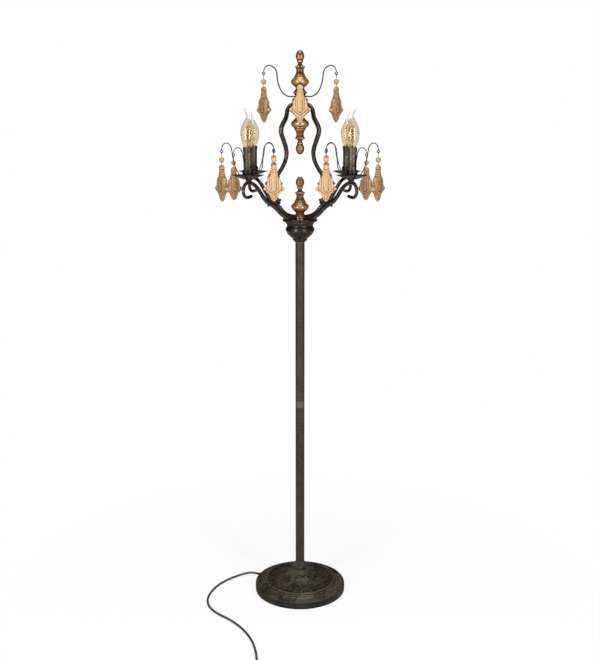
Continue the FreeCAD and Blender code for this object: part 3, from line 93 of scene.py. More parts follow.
class LampColours(bpy.types.PropertyGroup):
    iron_dark: colour("Iron, dark", (0.009, 0.007, 0.005), "Dark patches of the iron")
    iron_mid: colour("Iron, body", (0.026, 0.021, 0.013), "Main colour of the iron")
    base_mid: colour("Base, body", (0.102, 0.082, 0.056), "Main colour of the base")
    iron_rubbed: colour("Iron, rubbed", (0.13, 0.105, 0.075), "Where the iron is rubbed")
    pole_mid: colour("Pole, body", (0.034, 0.027, 0.016), "Main colour of the pole")
    forged_mid: colour("Forged bars", (0.033, 0.028, 0.021), "Main colour of arms and bars")
    wood_dark: colour("Stain, creases", (0.055, 0.018, 0.004), "Stain in the creases")
    wood_turned: colour("Turned wood", (0.19, 0.085, 0.032), "Main colour of the finials")
    wood_patina: colour("Turned wood, rubbed", (0.48, 0.29, 0.145), "Rubbed edges of finials")
    wood_carved: colour("Carved wood", (0.29, 0.152, 0.062), "The darker drops")
    wood_pale: colour("Pale carved wood", (0.50, 0.315, 0.150), "The paler drops")
    wire_black: colour("Wire", (0.012, 0.011, 0.010), "Blackened wire of the hooks")
    glass_amber: colour("Amber glass", (0.93, 0.81, 0.65), "Tint of the bulbs")
    filament: colour("Filament", (0.26, 0.16, 0.07), "Coating of the filaments")
    cord_black: colour("Cord", (0.035, 0.034, 0.036), "Mains cord and its fittings")
    floor_pale: colour("Floor", (0.88, 0.88, 0.88), "Studio floor")


def sizes():
    return bpy.context.scene.lamp_sizes


def tint(name):
    return tuple(getattr(bpy.context.scene.lamp_colours, name))


# ------------------------------------------------------------------ shader maths


class Flow:
    """A shader socket that can stand in a Python sum."""

    def __init__(self, paint, node, output=0):
        self.paint = paint
        self.node = node
        self.socket = node.outputs[output] if node.outputs else None

    def out(self, output):
        return Flow(self.paint, self.node, output)

    def maths(self, operation, *values):
        return self.paint.node("ShaderNodeMath", {"operation": operation}, dict(enumerate(values)))

    def __add__(self, other):
        return self.maths("ADD", self, other)

    __radd__ = __add__

    def __sub__(self, other):
        return self.maths("SUBTRACT", self, other)

    def __rsub__(self, other):
        return self.maths("SUBTRACT", other, self)

    def __mul__(self, other):
        return self.maths("MULTIPLY", self, other)

    __rmul__ = __mul__

    def held(self):
        """This value kept between 0 and 1."""
        return self.paint.node("ShaderNodeClamp", {}, {0: self})


class Paint:
    """The nodes of one material, or of the air round the lamp."""

    def __init__(self, owner):
        owner.use_nodes = True
        self.tree = owner.node_tree
        self.tree.nodes.clear()

    def node(self, kind, settings=None, inputs=None, output=0):
        """Add a node, set it up, fill its sockets and return one of its outputs."""
        node = self.tree.nodes.new(kind)
        for name, value in (settings or {}).items():
            setattr(node, name, value)
        for name, value in (inputs or {}).items():
            socket = node.inputs[name]
            if isinstance(value, Flow):
                self.tree.links.new(value.socket, socket)
            elif isinstance(value, (tuple, list)) and len(value) == 3 and socket.type == "RGBA":
                socket.default_value = (*value, 1.0)
            else:
                socket.default_value = value
        return Flow(self, node, output)

    def place(self, stretch=(1.0, 1.0, 1.0)):
        """Where a point lies in its piece, stretched along each axis."""
        spot = self.node("ShaderNodeTexCoord", output="Object")
        if stretch == (1.0, 1.0, 1.0):
            return spot
        return self.node("ShaderNodeVectorMath", {"operation": "MULTIPLY"}, {0: spot, 1: stretch})

    def cloud(self, scale, detail=4.0, rough=0.55, stretch=(1.0, 1.0, 1.0), warp=0.0):
        """Soft noise around one half."""
        values = {"Scale": scale, "Detail": detail, "Roughness": rough, "Distortion": warp}
        return self.node("ShaderNodeTexNoise", {}, {"Vector": self.place(stretch), **values})

    def wear(self):
        """How proud a point stands: above one half on edges, below it in creases."""
        return self.node("ShaderNodeAttribute", {"attribute_name": "wear"}, output="Fac")

    def strokes(self):
        """Short strokes that run outward, only in the base's hammered band."""
        spot = self.place()
        apart = self.node("ShaderNodeSeparateXYZ", {}, {0: spot})
        turn = self.node("ShaderNodeMath", {"operation": "ARCTAN2"}, {0: apart.out(1), 1: apart})
        reach = self.node("ShaderNodeVectorMath", {"operation": "LENGTH"}, {0: spot}, 1)
        polar = self.node("ShaderNodeCombineXYZ", {}, {0: turn * 18.0, 1: reach * 120.0})
        struck = self.node("ShaderNodeTexNoise", {}, {"Vector": polar, "Scale": 1.0, "Detail": 3.0})
        band = ((reach - 0.062) * 45.0).held() * ((0.101 - reach) * 250.0).held()
        return ((struck - 0.46) * 12.0).held() * band

    def mix(self, share, first, second):
        return self.node("ShaderNodeMix", {"data_type": "RGBA"}, {0: share, 6: first, 7: second}, 2)

    def bump(self, height, depth, strength=1.0):
        values = {"Height": height, "Distance": depth, "Strength": strength}
        return self.node("ShaderNodeBump", {}, values)

    def level(self):
        """Height over the floor."""
        return self.node("ShaderNodeSeparateXYZ", {}, {0: self.place()}, 2)

    def finish(self, surface):
        self.node("ShaderNodeOutputMaterial", {}, {"Surface": surface})

    def skin(self, **inputs):
        """The plain surface shader, with sockets given by name."""
        named = {key.replace("_", " "): value for key, value in inputs.items()}
        self.finish(self.node("ShaderNodeBsdfPrincipled", {}, named))


def aged_iron(paint, body, grain=1.0, shine=0.5, struck=False):
    """Blackened iron, mottled, paler where it is rubbed and darker in its creases. On the base, a
    painted shade darkens the upright wall below its top.
    """
    mottle = paint.cloud(55.0 * grain, 7.0, 0.68, warp=0.4)
    cloudy = paint.cloud(11.0 * grain, 3.0, 0.5)
    fine = paint.cloud(420.0, 3.0, 0.6)
    wear = paint.wear()
    patches = ((mottle - 0.5) * 2.6 + (cloudy - 0.5) * 2.0 + 0.5).held()
    base = paint.mix(patches, tint("iron_dark"), tint(body))
    height = mottle * 0.7 + fine * 0.35
    if struck:
        strokes = paint.strokes()
        base = paint.mix(strokes * 0.92, base, tint("iron_dark"))
        # Painted shade: below WALL_TOP the base's upright wall is darkened, as if the light from
        # above left it in shade.
        wall = ((WALL_TOP - paint.level()) * 400.0).held()
        base = paint.mix(wall * 0.85, base, tint("iron_dark"))
        height = height - strokes * 1.8
    rubbed = ((wear - 0.58) * 3.0 + (mottle - 0.55) * 1.6).held() * 0.5
    base = paint.mix(rubbed, base, tint("iron_rubbed"))
    base = paint.mix(((0.45 - wear) * 6.0).held() * 0.8, base, tint("iron_dark"))
    paint.skin(
        Base_Color=base,
        Metallic=0.2 + 0.5 * shine,
        Roughness=((1.0 - patches) * 0.14 + 0.60 - 0.42 * shine + (fine - 0.5) * 0.12).held(),
        Specular_IOR_Level=0.12 + 0.18 * shine,
        Normal=paint.bump(height, 0.6 * MM, 0.8 - 0.4 * shine),
    )


def pole_iron(paint):
    """The pole's paint: brown-black with cloudy, slightly upright patches."""
    mottle = paint.cloud(60.0, 7.0, 0.7, (1.0, 1.0, 0.45), 0.5)
    streak = paint.cloud(14.0, 4.0, 0.55, (1.0, 1.0, 0.25))
    fine = paint.cloud(500.0, 2.0, 0.6)
    patches = ((mottle - 0.5) * 2.4 + (streak - 0.5) * 1.8 + 0.5).held()
    base = paint.mix(patches, tint("iron_dark"), tint("pole_mid"))
    base = paint.mix(((paint.wear() - 0.55) * 5.0).held() * 0.6, base, tint("iron_rubbed"))
    paint.skin(
        Base_Color=base,
        Metallic=0.2,
        Roughness=((1.0 - patches) * 0.16 + 0.34 + (fine - 0.5) * 0.1).held(),
        Specular_IOR_Level=0.14,
        Normal=paint.bump(mottle * 0.6 + fine * 0.3, 0.4 * MM, 0.6),
    )


def stained_wood(paint, body, rubbed, grain, gloss, crease=0.9):
    """Stained wood with upright grain, dark creases and rubbed edges."""
    lines = paint.cloud(150.0 * grain, 5.0, 0.6, (1.0, 1.0, 0.07), 0.25)
    broad = paint.cloud(28.0 * grain, 3.0, 0.5, (1.0, 1.0, 0.22), 0.6)
    fine = paint.cloud(700.0, 3.0, 0.7, (1.0, 1.0, 0.12))
    blotch = paint.cloud(60.0, 4.0, 0.6)
    wear = paint.wear()
    deep = tuple(channel * 0.55 for channel in tint(body))
    base = paint.mix(((lines - 0.40) * 4.2 + (broad - 0.5) * 2.2).held(), deep, tint(body))
    edge = ((wear - 0.52) * 6.0 + (blotch - 0.5) * 1.2).held() * 0.75
    base = paint.mix(edge, base, tint(rubbed))
    base = paint.mix(((0.49 - wear) * 7.0).held() * crease, base, tint("wood_dark"))
    paint.skin(
        Base_Color=base,
        Metallic=0.62 * gloss * gloss,
        Roughness=((1.0 - lines) * 0.22 + 0.52 - 0.30 * gloss + (fine - 0.5) * 0.15).held(),
        Specular_IOR_Level=0.4,
        Coat_Weight=0.12 * gloss,
        Coat_Roughness=0.2,
        Normal=paint.bump(lines * 0.5 + fine * 0.5, 0.35 * MM, 0.6),
    )


def amber_glass(paint):
    """Clear amber glass that pales towards the bent tip, with a painted darker reflection at its
    edges.
    """
    up = ((paint.level() - 1.300) * 38.0).held()
    clear = paint.mix(up, tint("glass_amber"), (0.84, 0.82, 0.79))
    # Painted reflection: where the glass is seen edge-on its tint turns grey-brown, standing in for
    # darker surroundings reflected there.
    painted_edge_reflection = paint.node("ShaderNodeLayerWeight", {}, {"Blend": 0.4}, "Facing")
    paint.skin(
        Base_Color=paint.mix((painted_edge_reflection * 1.3 - 0.45).held(), clear, (0.22, 0.18, 0.13)),
        Roughness=0.02,
        IOR=1.45,
        Transmission_Weight=1.0,
        Specular_IOR_Level=0.6,
    )


def grained(paint, dark, light, noise, rough, pits, **values):
    """One noise shades a plain skin, roughens it and pits it."""
    grain = paint.cloud(*noise)
    shades = [tint(shade) if isinstance(shade, str) else shade for shade in (dark, light)]
    if isinstance(rough, tuple):
        rough = (grain * rough[0] + rough[1]).held()
    paint.skin(
        Base_Color=paint.mix(grain, *shades),
        Roughness=rough,
        Normal=paint.bump(grain, pits[0] * MM, pits[1]),
        **values,
    )


def black_wire(paint):
    """Blackened wire with a little scale on it."""
    noise, rest = (240.0, 4.0, 0.6), {"Metallic": 0.5, "Specular_IOR_Level": 0.15}
    grained(paint, "wire_black", "forged_mid", noise, (0.3, 0.3), (0.15, 0.5), **rest)


def bright_metal(paint, body, roughness):
    """Rolled or stamped metal with fine upright marks."""
    darker = tuple(channel * 0.6 for channel in body)
    noise = (300.0, 4.0, 0.6, (1.0, 1.0, 0.2))
    grained(paint, darker, body, noise, (0.2, roughness), (0.08, 0.4), Metallic=0.9)


def cast_face(paint):
    """The rough weight in the base."""
    dark, light = (0.05, 0.05, 0.05), (0.15, 0.145, 0.14)
    grained(paint, dark, light, (160.0, 6.0, 0.7), (0.3, 0.5), (0.8, 1.0), Metallic=0.6)


def pressed_felt(paint):
    """The pad under the base."""
    dark, light = (0.018, 0.018, 0.018), (0.075, 0.072, 0.068)
    grained(paint, dark, light, (900.0, 6.0, 0.8), 0.95, (0.5, 1.0), Sheen_Weight=0.4)


def smooth_moulding(paint, body, roughness, texture=0.5):
    """Moulded plastic with a fine grain."""
    grain = paint.cloud(900.0, 2.0, 0.5)
    haze = paint.cloud(40.0, 3.0, 0.5)
    body = tint(body) if isinstance(body, str) else body
    lighter = tuple(min(1.0, channel * 1.35 + 0.006) for channel in body)
    paint.skin(
        Base_Color=paint.mix(haze, body, lighter),
        Roughness=(grain * 0.14 + roughness - 0.07).held(),
        Normal=paint.bump(grain, 0.12 * MM, texture),
    )


# Each coat's maker, with what the maker takes.
MAKERS = {
    "base iron": (aged_iron, "base_mid", 2.6, 0.2, True),
    "cup iron": (aged_iron, "iron_mid", 1.6, 0.78),
    "forged iron": (aged_iron, "forged_mid", 2.0, 0.92),
    "pan iron": (aged_iron, "iron_mid", 2.2, 0.82),
    "sleeve iron": (aged_iron, "base_mid", 3.4, 0.6),
    "pole iron": (pole_iron,),
    "turned wood": (stained_wood, "wood_turned", "wood_patina", 1.0, 1.0),
    "carved wood": (stained_wood, "wood_carved", "wood_patina", 1.0, 0.35),
    "pale wood": (stained_wood, "wood_pale", "wood_pale", 1.0, 0.25, 0.75),
    "black wire": (black_wire,),
    "amber glass": (amber_glass,),
    "filament coat": (smooth_moulding, "filament", 0.9),
    "cord skin": (smooth_moulding, "cord_black", 0.42, 0.3),
    "fitting moulding": (smooth_moulding, "cord_black", 0.5),
    "holder moulding": (smooth_moulding, (0.55, 0.5, 0.42), 0.5),
    "cap brass": (bright_metal, (0.66, 0.52, 0.28), 0.25),
    "plated steel": (bright_metal, (0.5, 0.49, 0.47), 0.3),
    "cast face": (cast_face,),
    "pressed felt": (pressed_felt,),
}
MADE = {}


def coat(name):
    """The material of that name, made when it is first asked for."""
    if name not in MADE:
        MADE[name] = bpy.data.materials.new(name.replace(" ", "_"))
        maker, *values = MAKERS[name]
        maker(Paint(MADE[name]), *values)
    return MADE[name]


# ------------------------------------------------------------------ mesh helpers


def skin(name, grid, around=True, along=False):
    """A mesh over a grid of points, closed round its second and, if asked, first way."""
    rows, columns = grid.shape[:2]
    index = np.arange(rows * columns).reshape(rows, columns)
    below = index if along else index[:-1]
    above = np.roll(index, -1, 0) if along else index[1:]
    if around:
        faces = np.stack([below, np.roll(below, -1, 1), np.roll(above, -1, 1), above], -1)
    else:
        faces = np.stack([below[:, :-1], below[:, 1:], above[:, 1:], above[:, :-1]], -1)
    mesh = bpy.data.meshes.new(name)
    mesh.from_pydata(grid.reshape(-1, 3).tolist(), [], faces.reshape(-1, 4).tolist())
    work = bmesh.new()
    work.from_mesh(mesh)
    bmesh.ops.remove_doubles(work, verts=work.verts, dist=1e-6)
    bmesh.ops.recalc_face_normals(work, faces=work.faces)
    work.to_mesh(mesh)
    work.free()
    return mesh


def joined(name, meshes, places=None):
    """Several meshes as one, each in its place."""
    work = bmesh.new()
    for mesh, place in zip(meshes, places or [Matrix.Identity(4)] * len(meshes)):
        moved = mesh.copy()
        moved.transform(place)
        work.from_mesh(moved)
        bpy.data.meshes.remove(moved)
    whole = bpy.data.meshes.new(name)
    work.to_mesh(whole)
    work.free()
    for mesh in set(meshes):
        bpy.data.meshes.remove(mesh)
    return whole


def weather(mesh, rounds=3, depth=0.25 * MM):
    """Store on each point how proud it stands of the points around it."""
    count = len(mesh.vertices)
    spots = np.empty(count * 3)
    mesh.vertices.foreach_get("co", spots)
    spots = spots.reshape(-1, 3)
    normals = np.empty(count * 3)
    mesh.vertices.foreach_get("normal", normals)
    normals = normals.reshape(-1, 3)
    ends = np.empty(len(mesh.edges) * 2, int)
    mesh.edges.foreach_get("vertices", ends)
    one, other = ends.reshape(-1, 2).T
    near = np.maximum(np.bincount(ends, minlength=count), 1)[:, None]
    soft = spots.copy()
    for _ in range(rounds):
        total = np.zeros_like(soft)
        np.add.at(total, one, soft[other])
        np.add.at(total, other, soft[one])
        soft = 0.5 * soft + 0.5 * total / near
    proud = np.einsum("ij,ij->i", spots - soft, normals) / depth
    layer = mesh.attributes.new("wear", "FLOAT", "POINT")
    layer.data.foreach_set("value", np.clip(0.5 + 0.5 * proud, 0.0, 1.0))


def add(name, data):
    """A new object in the scene."""
    piece = bpy.data.objects.new(name, data)
    bpy.context.scene.collection.objects.link(piece)
    return piece


def show(name, mesh, material, angle=38.0, rounds=3, depth=0.25 * MM):
    """Put a finished mesh in the scene."""
    mesh.shade_smooth()
    mesh.set_sharp_from_angle(angle=math.radians(angle))
    weather(mesh, rounds, depth)
    mesh.materials.append(coat(material))
    return add(name, mesh)


def fit(piece, body, slot, *nodes):
    """Let a piece move with its body, and stand for CAD nodes."""
    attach(piece, body)
    if nodes:
        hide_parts(*nodes)
    return piece


def put(name, mesh, material, body, slot, *nodes):
    """Show a mesh that moves with its body, and stands for CAD nodes."""
    return fit(show(name, mesh, material), body, slot, *nodes)


def repaint(material, *nodes):
    """Give CAD nodes whose shape is right a better material."""
    for name in nodes:
        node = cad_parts[name]
        node.data.materials.clear()
        node.data.materials.append(coat(material))


# ------------------------------------------------------------------ outlines and bars


def smooth_run(run, spacing):
    """Points along a smooth curve through a run of points."""
    run = [np.array(point[:2], float) for point in run]
    if len(run) == 2:
        steps = max(1, int(np.linalg.norm(run[1] - run[0]) / (spacing * 2.5)))
        return [run[0] + (run[1] - run[0]) * (k / steps) for k in range(steps + 1)]
    padded = [2 * run[0] - run[1]] + run + [2 * run[-1] - run[-2]]
    made = [run[0]]
    for before, start, end, after in zip(padded, padded[1:], padded[2:], padded[3:]):
        steps = max(2, int(np.linalg.norm(end - start) / spacing))
        slope = end - before
        bend = 2 * before - 5 * start + 4 * end - after
        twist = 3 * start - before - 3 * end + after
        for k in range(1, steps + 1):
            t = k / steps
            made.append(0.5 * (2 * start + slope * t + bend * t**2 + twist * t**3))
    return made


def outline(points, spacing=0.8, ease=0.3):
    """A turned outline. A point with a third item is a corner, which is eased a little."""
    corners = [n for n, point in enumerate(points) if len(point) > 2 or n in (0, len(points) - 1)]
    made = [np.array(points[0][:2], float)]
    for start, end in zip(corners, corners[1:]):
        run = smooth_run(points[start : end + 1], spacing)
        if start:
            corner = made.pop()
            back, forth = made[-1] - corner, run[1] - corner
            reach = min(ease, 0.4 * np.linalg.norm(back), 0.4 * np.linalg.norm(forth))
            first = corner + back / np.linalg.norm(back) * reach
            last = corner + forth / np.linalg.norm(forth) * reach
            made += [first, 0.5 * corner + 0.25 * (first + last), last]
        made += run[1:]
    return np.array(made)


def turned(name, points, steps=96, shape=None, loop=False, spacing=0.8, ease=0.3):
    """Turn an outline of (radius, height) in millimetres about the upright axis."""
    profile = outline(points, spacing, ease)
    angle = np.linspace(0.0, 2.0 * math.pi, steps, endpoint=False)[None, :]
    radius = np.repeat(profile[:, :1], steps, 1)
    height = np.repeat(profile[:, 1:], steps, 1)
    if shape is not None:
        radius, height = shape(radius, height, angle)
    grid = np.stack([radius * np.cos(angle), radius * np.sin(angle), height], -1)
    return skin(name, grid * MM, True, loop)


def flowing(stations, spacing=1.5):
    """Points (out, up) along a smooth line through stations of (out, up, heading)."""
    made = []
    for (x0, z0, a0), (x1, z1, a1) in zip(stations, stations[1:]):
        chord = math.hypot(x1 - x0, z1 - z0)
        turn = abs((a1 - a0 + 180.0) % 360.0 - 180.0)
        pull = chord * (1.0 + turn / 720.0)
        steps = max(4, int(chord / spacing))
        t = np.linspace(0.0, 1.0, steps, endpoint=False)[:, None]
        start, end = np.array([x0, z0]), np.array([x1, z1])
        leave = np.array([math.cos(math.radians(a0)), math.sin(math.radians(a0))]) * pull
        arrive = np.array([math.cos(math.radians(a1)), math.sin(math.radians(a1))]) * pull
        made.append(
            (2 * t**3 - 3 * t**2 + 1) * start
            + (t**3 - 2 * t**2 + t) * leave
            + (3 * t**2 - 2 * t**3) * end
            + (t**3 - t**2) * arrive
        )
    made.append(np.array([stations[-1][:2]]))
    return np.concatenate(made)


def upright(line):
    """A line in (out, up) as points in space, in the plane of X and Z."""
    return np.stack([line[:, 0], np.zeros(len(line)), line[:, 1]], -1)


def straight(low, high, count):
    """Points up the Z axis."""
    return np.array([[0, 0, z] for z in np.linspace(low, high, count)])


def distance_along(points):
    return np.concatenate([[0.0], np.cumsum(np.linalg.norm(np.diff(points, axis=0), axis=1))])


def rod(name, points, radius, steps=24, uneven=0.0, seed=1.0):
    """A round bar along points in millimetres. radius is one value or one for each point."""
    radius = np.full(len(points), float(radius)) if np.isscalar(radius) else radius
    way = np.gradient(points, axis=0)
    way /= np.linalg.norm(way, axis=1)[:, None]
    side = np.cross(way[0], [0.0, 1.0, 0.0])
    if np.linalg.norm(side) < 0.1:
        side = np.cross(way[0], [1.0, 0.0, 0.0])
    sides = []
    for direction in way:
        side = side - direction * np.dot(side, direction)
        side /= np.linalg.norm(side)
        sides.append(side)
    sides = np.array(sides)
    others = np.cross(way, sides)
    tilt = np.radians([90.0, 66.0, 42.0, 20.0])
    first = points[0] - np.outer(np.sin(tilt), way[0]) * radius[0] * 0.7
    last = points[-1] + np.outer(np.sin(tilt[::-1]), way[-1]) * radius[-1] * 0.7
    points = np.concatenate([first, points, last])
    radius = np.concatenate([radius[0] * np.cos(tilt), radius, radius[-1] * np.cos(tilt[::-1])])
    sides = np.pad(sides, ((len(tilt), len(tilt)), (0, 0)), "edge")
    others = np.pad(others, ((len(tilt), len(tilt)), (0, 0)), "edge")
    angle = np.linspace(0.0, 2.0 * math.pi, steps, endpoint=False)
    walked = distance_along(points)[:, None]
    size = radius[:, None] + uneven * (
        0.5 * np.sin(walked * 0.31 * seed + 2.0 * np.sin(angle * 2.0 + seed))
        + 0.5 * np.sin(walked * 0.83 + angle * 3.0 + seed * 5.0)
    ) * (radius[:, None] > radius.max() * 0.3)
    along, over = np.cos(angle)[None, :, None], np.sin(angle)[None, :, None]
    ring = sides[:, None, :] * along + others[:, None, :] * over
    return skin(name, (points[:, None, :] + ring * size[:, :, None]) * MM)


def spun(angle):
    return Matrix.Rotation(math.radians(angle), 4, "Z")


def placed(x, y, z, angle=0.0):
    return Matrix.Translation(Vector((x, y, z)) * MM) @ spun(angle)


# ------------------------------------------------------------------ base and pole

# Top of the base's upright wall, in metres. Below it the base iron is darkened with a painted
# shade.
WALL_TOP = 0.0225
POLE_RADIUS = 12.5
POLE_ENDS = (76.0, 556.0, 1013.0)

BASE_OUTLINE = [
    (124.9, 1.4), (128, 1.4, 1), (128, 19.2, 1), (127.4, 21), (125.6, 21.9, 1), (113.4, 25, 1),
    (112.2, 26.4), (110.6, 28, 1), (106.8, 28.9), (103.2, 30.4, 1), (100.6, 31.2), (99.2, 33.2),
    (97.2, 34.2), (95, 33.9), (93.6, 32.6, 1), (90, 33.7), (76, 37.6), (61, 40.9), (47, 43.6, 1),
    (45.4, 44.6), (44.6, 46.4), (43.4, 47.6), (41.8, 48, 1), (37, 49.7), (30, 53.2), (24, 57.6),
    (20.4, 61.4), (18.5, 63.95, 1), (5.2, 63.95, 1), (5.2, 58.1, 1), (17, 58.1), (39, 45),
    (59, 38), (95, 29.5), (108, 24), (123, 19, 1), (124.9, 17),
]

COLLAR_OUTLINE = [
    (5.2, 64.05), (16.6, 64.05, 1), (19.2, 65.8), (20.5, 69.6), (19.4, 73.6), (16.4, 77.2),
    (15.2, 79.4, 1), (15.3, 80.6), (14.8, 81.7), (13.8, 81.95, 1), (12.6, 81.95, 1),
    (12.6, 76.1, 1), (5.2, 76.1),
]


def hammered(radius, height, angle):
    """Short strokes struck into the base's band, most of them running outward."""
    inside = np.clip((radius - 56.0) / 8.0, 0, 1) * np.clip((95.0 - radius) / 4.0, 0, 1)
    inside = inside * (height > 33.0)
    strokes = np.zeros_like(height)
    for number in range(1, 8):
        turn = angle * (31 + 17 * number) + number * number
        sway = 2.1 * number + 3.0 * np.sin(angle * number)
        swell = np.sin(radius * (0.16 + 0.05 * number) + sway)
        strokes += np.sin(turn + 1.4 * swell) * swell / 5.0
    depth = sizes().hammer_depth / MM
    return radius, height - depth * inside * np.clip(0.4 + strokes, 0.0, 1.2)


def pole_length(name, low, high):
    """One length of the pole, its ends slightly eased."""
    wide, slim = POLE_RADIUS, POLE_RADIUS - 0.3
    points = [(5.2, low), (slim, low, 1), (wide, low + 0.6, 1)]
    points += [(wide, high - 0.6, 1), (slim, high, 1), (5.2, high)]
    return turned(name, points, 64, spacing=4.0, loop=True)


class LAMP_OT_base(bpy.types.Operator):
    """Base, collar and the two lengths of the pole"""

    bl_idname = "lamp.base"
    bl_label = "Base and pole"

    def execute(self, context):
        shell = turned("base_shell_turned", BASE_OUTLINE, 420, hammered, True, 1.1, 0.4)
        put("base_shell_turned", shell, "base iron", "stand", "bronzed_iron", "base_shell")
        collar = turned("base_collar_turned", COLLAR_OUTLINE, 96, loop=True)
        put("base_collar_turned", collar, "base iron", "stand", "bronzed_iron", "base_collar")
        for name, low, high in zip(("pole_lower", "pole_upper"), POLE_ENDS, POLE_ENDS[1:]):
            tube = pole_length(name + "_tube", low, high)
            put(name + "_tube", tube, "pole iron", "stand", "pole_paint", name)
        repaint("cast face", "base_weight")
        repaint("pressed felt", "base_pad")
        repaint("plated steel", "base_fixings", "crown_fixings", "pole_coupler")
        return {"FINISHED"}


# ------------------------------------------------------------------ crown

CUP_OUTLINE = [
    (12.6, 1007), (14.2, 1007, 1), (16.6, 1009.2), (18.6, 1011.6), (19.4, 1013), (19.3, 1015.2),
    (19.9, 1016, 1), (23.7, 1018.5), (29.4, 1024), (33.5, 1029), (35.4, 1032.6), (36.7, 1035, 1),
    (37.9, 1036.4), (38.1, 1039.6), (37.7, 1043.4), (36.3, 1046.2, 1), (34.9, 1047.6, 1),
    (34.8, 1051.4, 1), (35.6, 1053.2), (37.2, 1056), (38.8, 1058.2, 1), (39.7, 1060.95, 1),
    (30.5, 1060.95, 1), (30.5, 1041), (26, 1030), (17.5, 1023.1), (5.2, 1023.1, 1),
    (5.2, 1013.1, 1), (12.6, 1013.1, 1),
]

PLATE_OUTLINE = [
    (5.2, 1058.2), (30.3, 1058.2, 1), (30.3, 1061.1, 1), (40.2, 1061.1, 1), (42.4, 1061),
    (44.6, 1061.5), (45.9, 1062.6, 1), (46.3, 1063.6), (46.2, 1066.2), (45.2, 1067.7),
    (43.6, 1067.9, 1), (41.6, 1067.7, 1), (39.9, 1066.1, 1), (5.2, 1066),
]


def lobed(radius, height, angle):
    """Small lobes round the lower edge of the crown plate."""
    edge = np.clip((radius - 41.0) / 2.0, 0, 1) * np.clip((1065.4 - height) / 1.6, 0, 1)
    wave = np.abs(np.sin(angle * 22.0))
    return radius - edge * (1.0 - wave) * 1.5, height + edge * (1.0 - wave) * 0.9


class LAMP_OT_crown(bpy.types.Operator):
    """Crown cup and crown plate"""

    bl_idname = "lamp.crown"
    bl_label = "Crown"

    def execute(self, context):
        cup = turned("crown_cup_turned", CUP_OUTLINE, 128, loop=True)
        put("crown_cup_turned", cup, "cup iron", "stand", "bronzed_iron", "crown_cup")
        plate = turned("crown_plate_lobed", PLATE_OUTLINE, 440, lobed, True, 0.5, 0.2)
        put("crown_plate_lobed", plate, "cup iron", "stand", "forged_iron", "crown_plate")
        return {"FINISHED"}


# ------------------------------------------------------------------ arms and lyre bars

# How far out each pan stands, and the height of the arm's crest under it.
ARM_REACH = 183.8
CREST = 1169.6

ARM_STATIONS = [
    (20, 1072, 0), (66, 1083.4, 35), (88, 1101.2, 37), (113, 1115.6, 25), (135, 1134.4, 50),
    (154.8, 1157.2, 43), (ARM_REACH, CREST, 0), (200.2, 1148.6, -90), (188, 1133, -180),
    (173, 1135.8, -202),
]

LYRE_STATIONS = [
    (17.65, 1363.8, -3), (35.5, 1360, -31), (48.7, 1339.2, -84), (58.5, 1320.4, -50),
    (69.7, 1297.8, -88), (60.5, 1272.3, -114), (49.7, 1239.8, -90), (62.5, 1206.8, -54),
    (101.5, 1167.8, -45), (119.1, 1142.8, -90), (108.16, 1125.98, 205), (81.11, 1110.34, 217),
]

BOLT_POINT = (84.6, 1112.9)
BOLT_TILT = -8.0


def forged_arm(name, seed):
    """One bar from the crown, under the pan and on into its scroll tail."""
    line = upright(flowing(ARM_STATIONS))
    walked = distance_along(line)
    off_crest = np.abs(line[:, 0] - ARM_REACH) + 9.0 * (line[:, 2] < CREST - 1.6)
    crest = walked[np.argmin(off_crest)]
    arm = np.interp(walked, [0, crest * 0.45, crest, walked[-1]], [5.9, 5.9, 4.5, 4.1])
    bar = rod(name, line, arm, 28, sizes().forge_depth / MM, seed)
    points = [(0.0, CREST), (4.2, CREST), (4.6, 1172.0), (5.6, 1176.0)]
    points += [(7.2, 1177.9, 1), (0.0, 1177.95)]
    stem = turned(name + "_stem", points, 32, spacing=0.7)
    stem.transform(placed(ARM_REACH, 0, 0))
    return joined(name, [bar, stem])


def hexagon(name, across, height, bore=0.0):
    """A nut or bolt head with its corners turned down."""

    def six(radius, level, angle):
        side = (angle + math.pi / 6.0) % (math.pi / 3.0) - math.pi / 6.0
        flat = across / 2.0 / np.cos(side)
        return np.where(radius > bore + 0.3, np.minimum(radius, flat), radius), level

    wide = across / math.sqrt(3.0)
    points = [(bore, 0.0), (wide * 0.93, 0.0, 1), (wide, 0.35, 1)]
    points += [(wide, height - 0.35, 1), (wide * 0.93, height, 1), (bore, height)]
    return turned(name, points, 60, six, bore > 0.0, 0.5, 0.1)


def bolt(name):
    """The bolt through a lyre bar's foot, with its nut and head, along +Z."""
    shank = rod(name + "_shank", straight(-12.6, 30.9, 30), 1.5, 20)
    nut = hexagon(name + "_nut", 5.6, 2.6)
    nut.transform(placed(0, 0, -9.6))
    points = [(0.0, 30.6), (2.9, 30.6, 1), (3.0, 31.4), (2.1, 32.5), (0.0, 32.8)]
    head = turned(name + "_head", points, 32, spacing=0.4)
    return joined(name, [shank, nut, head])


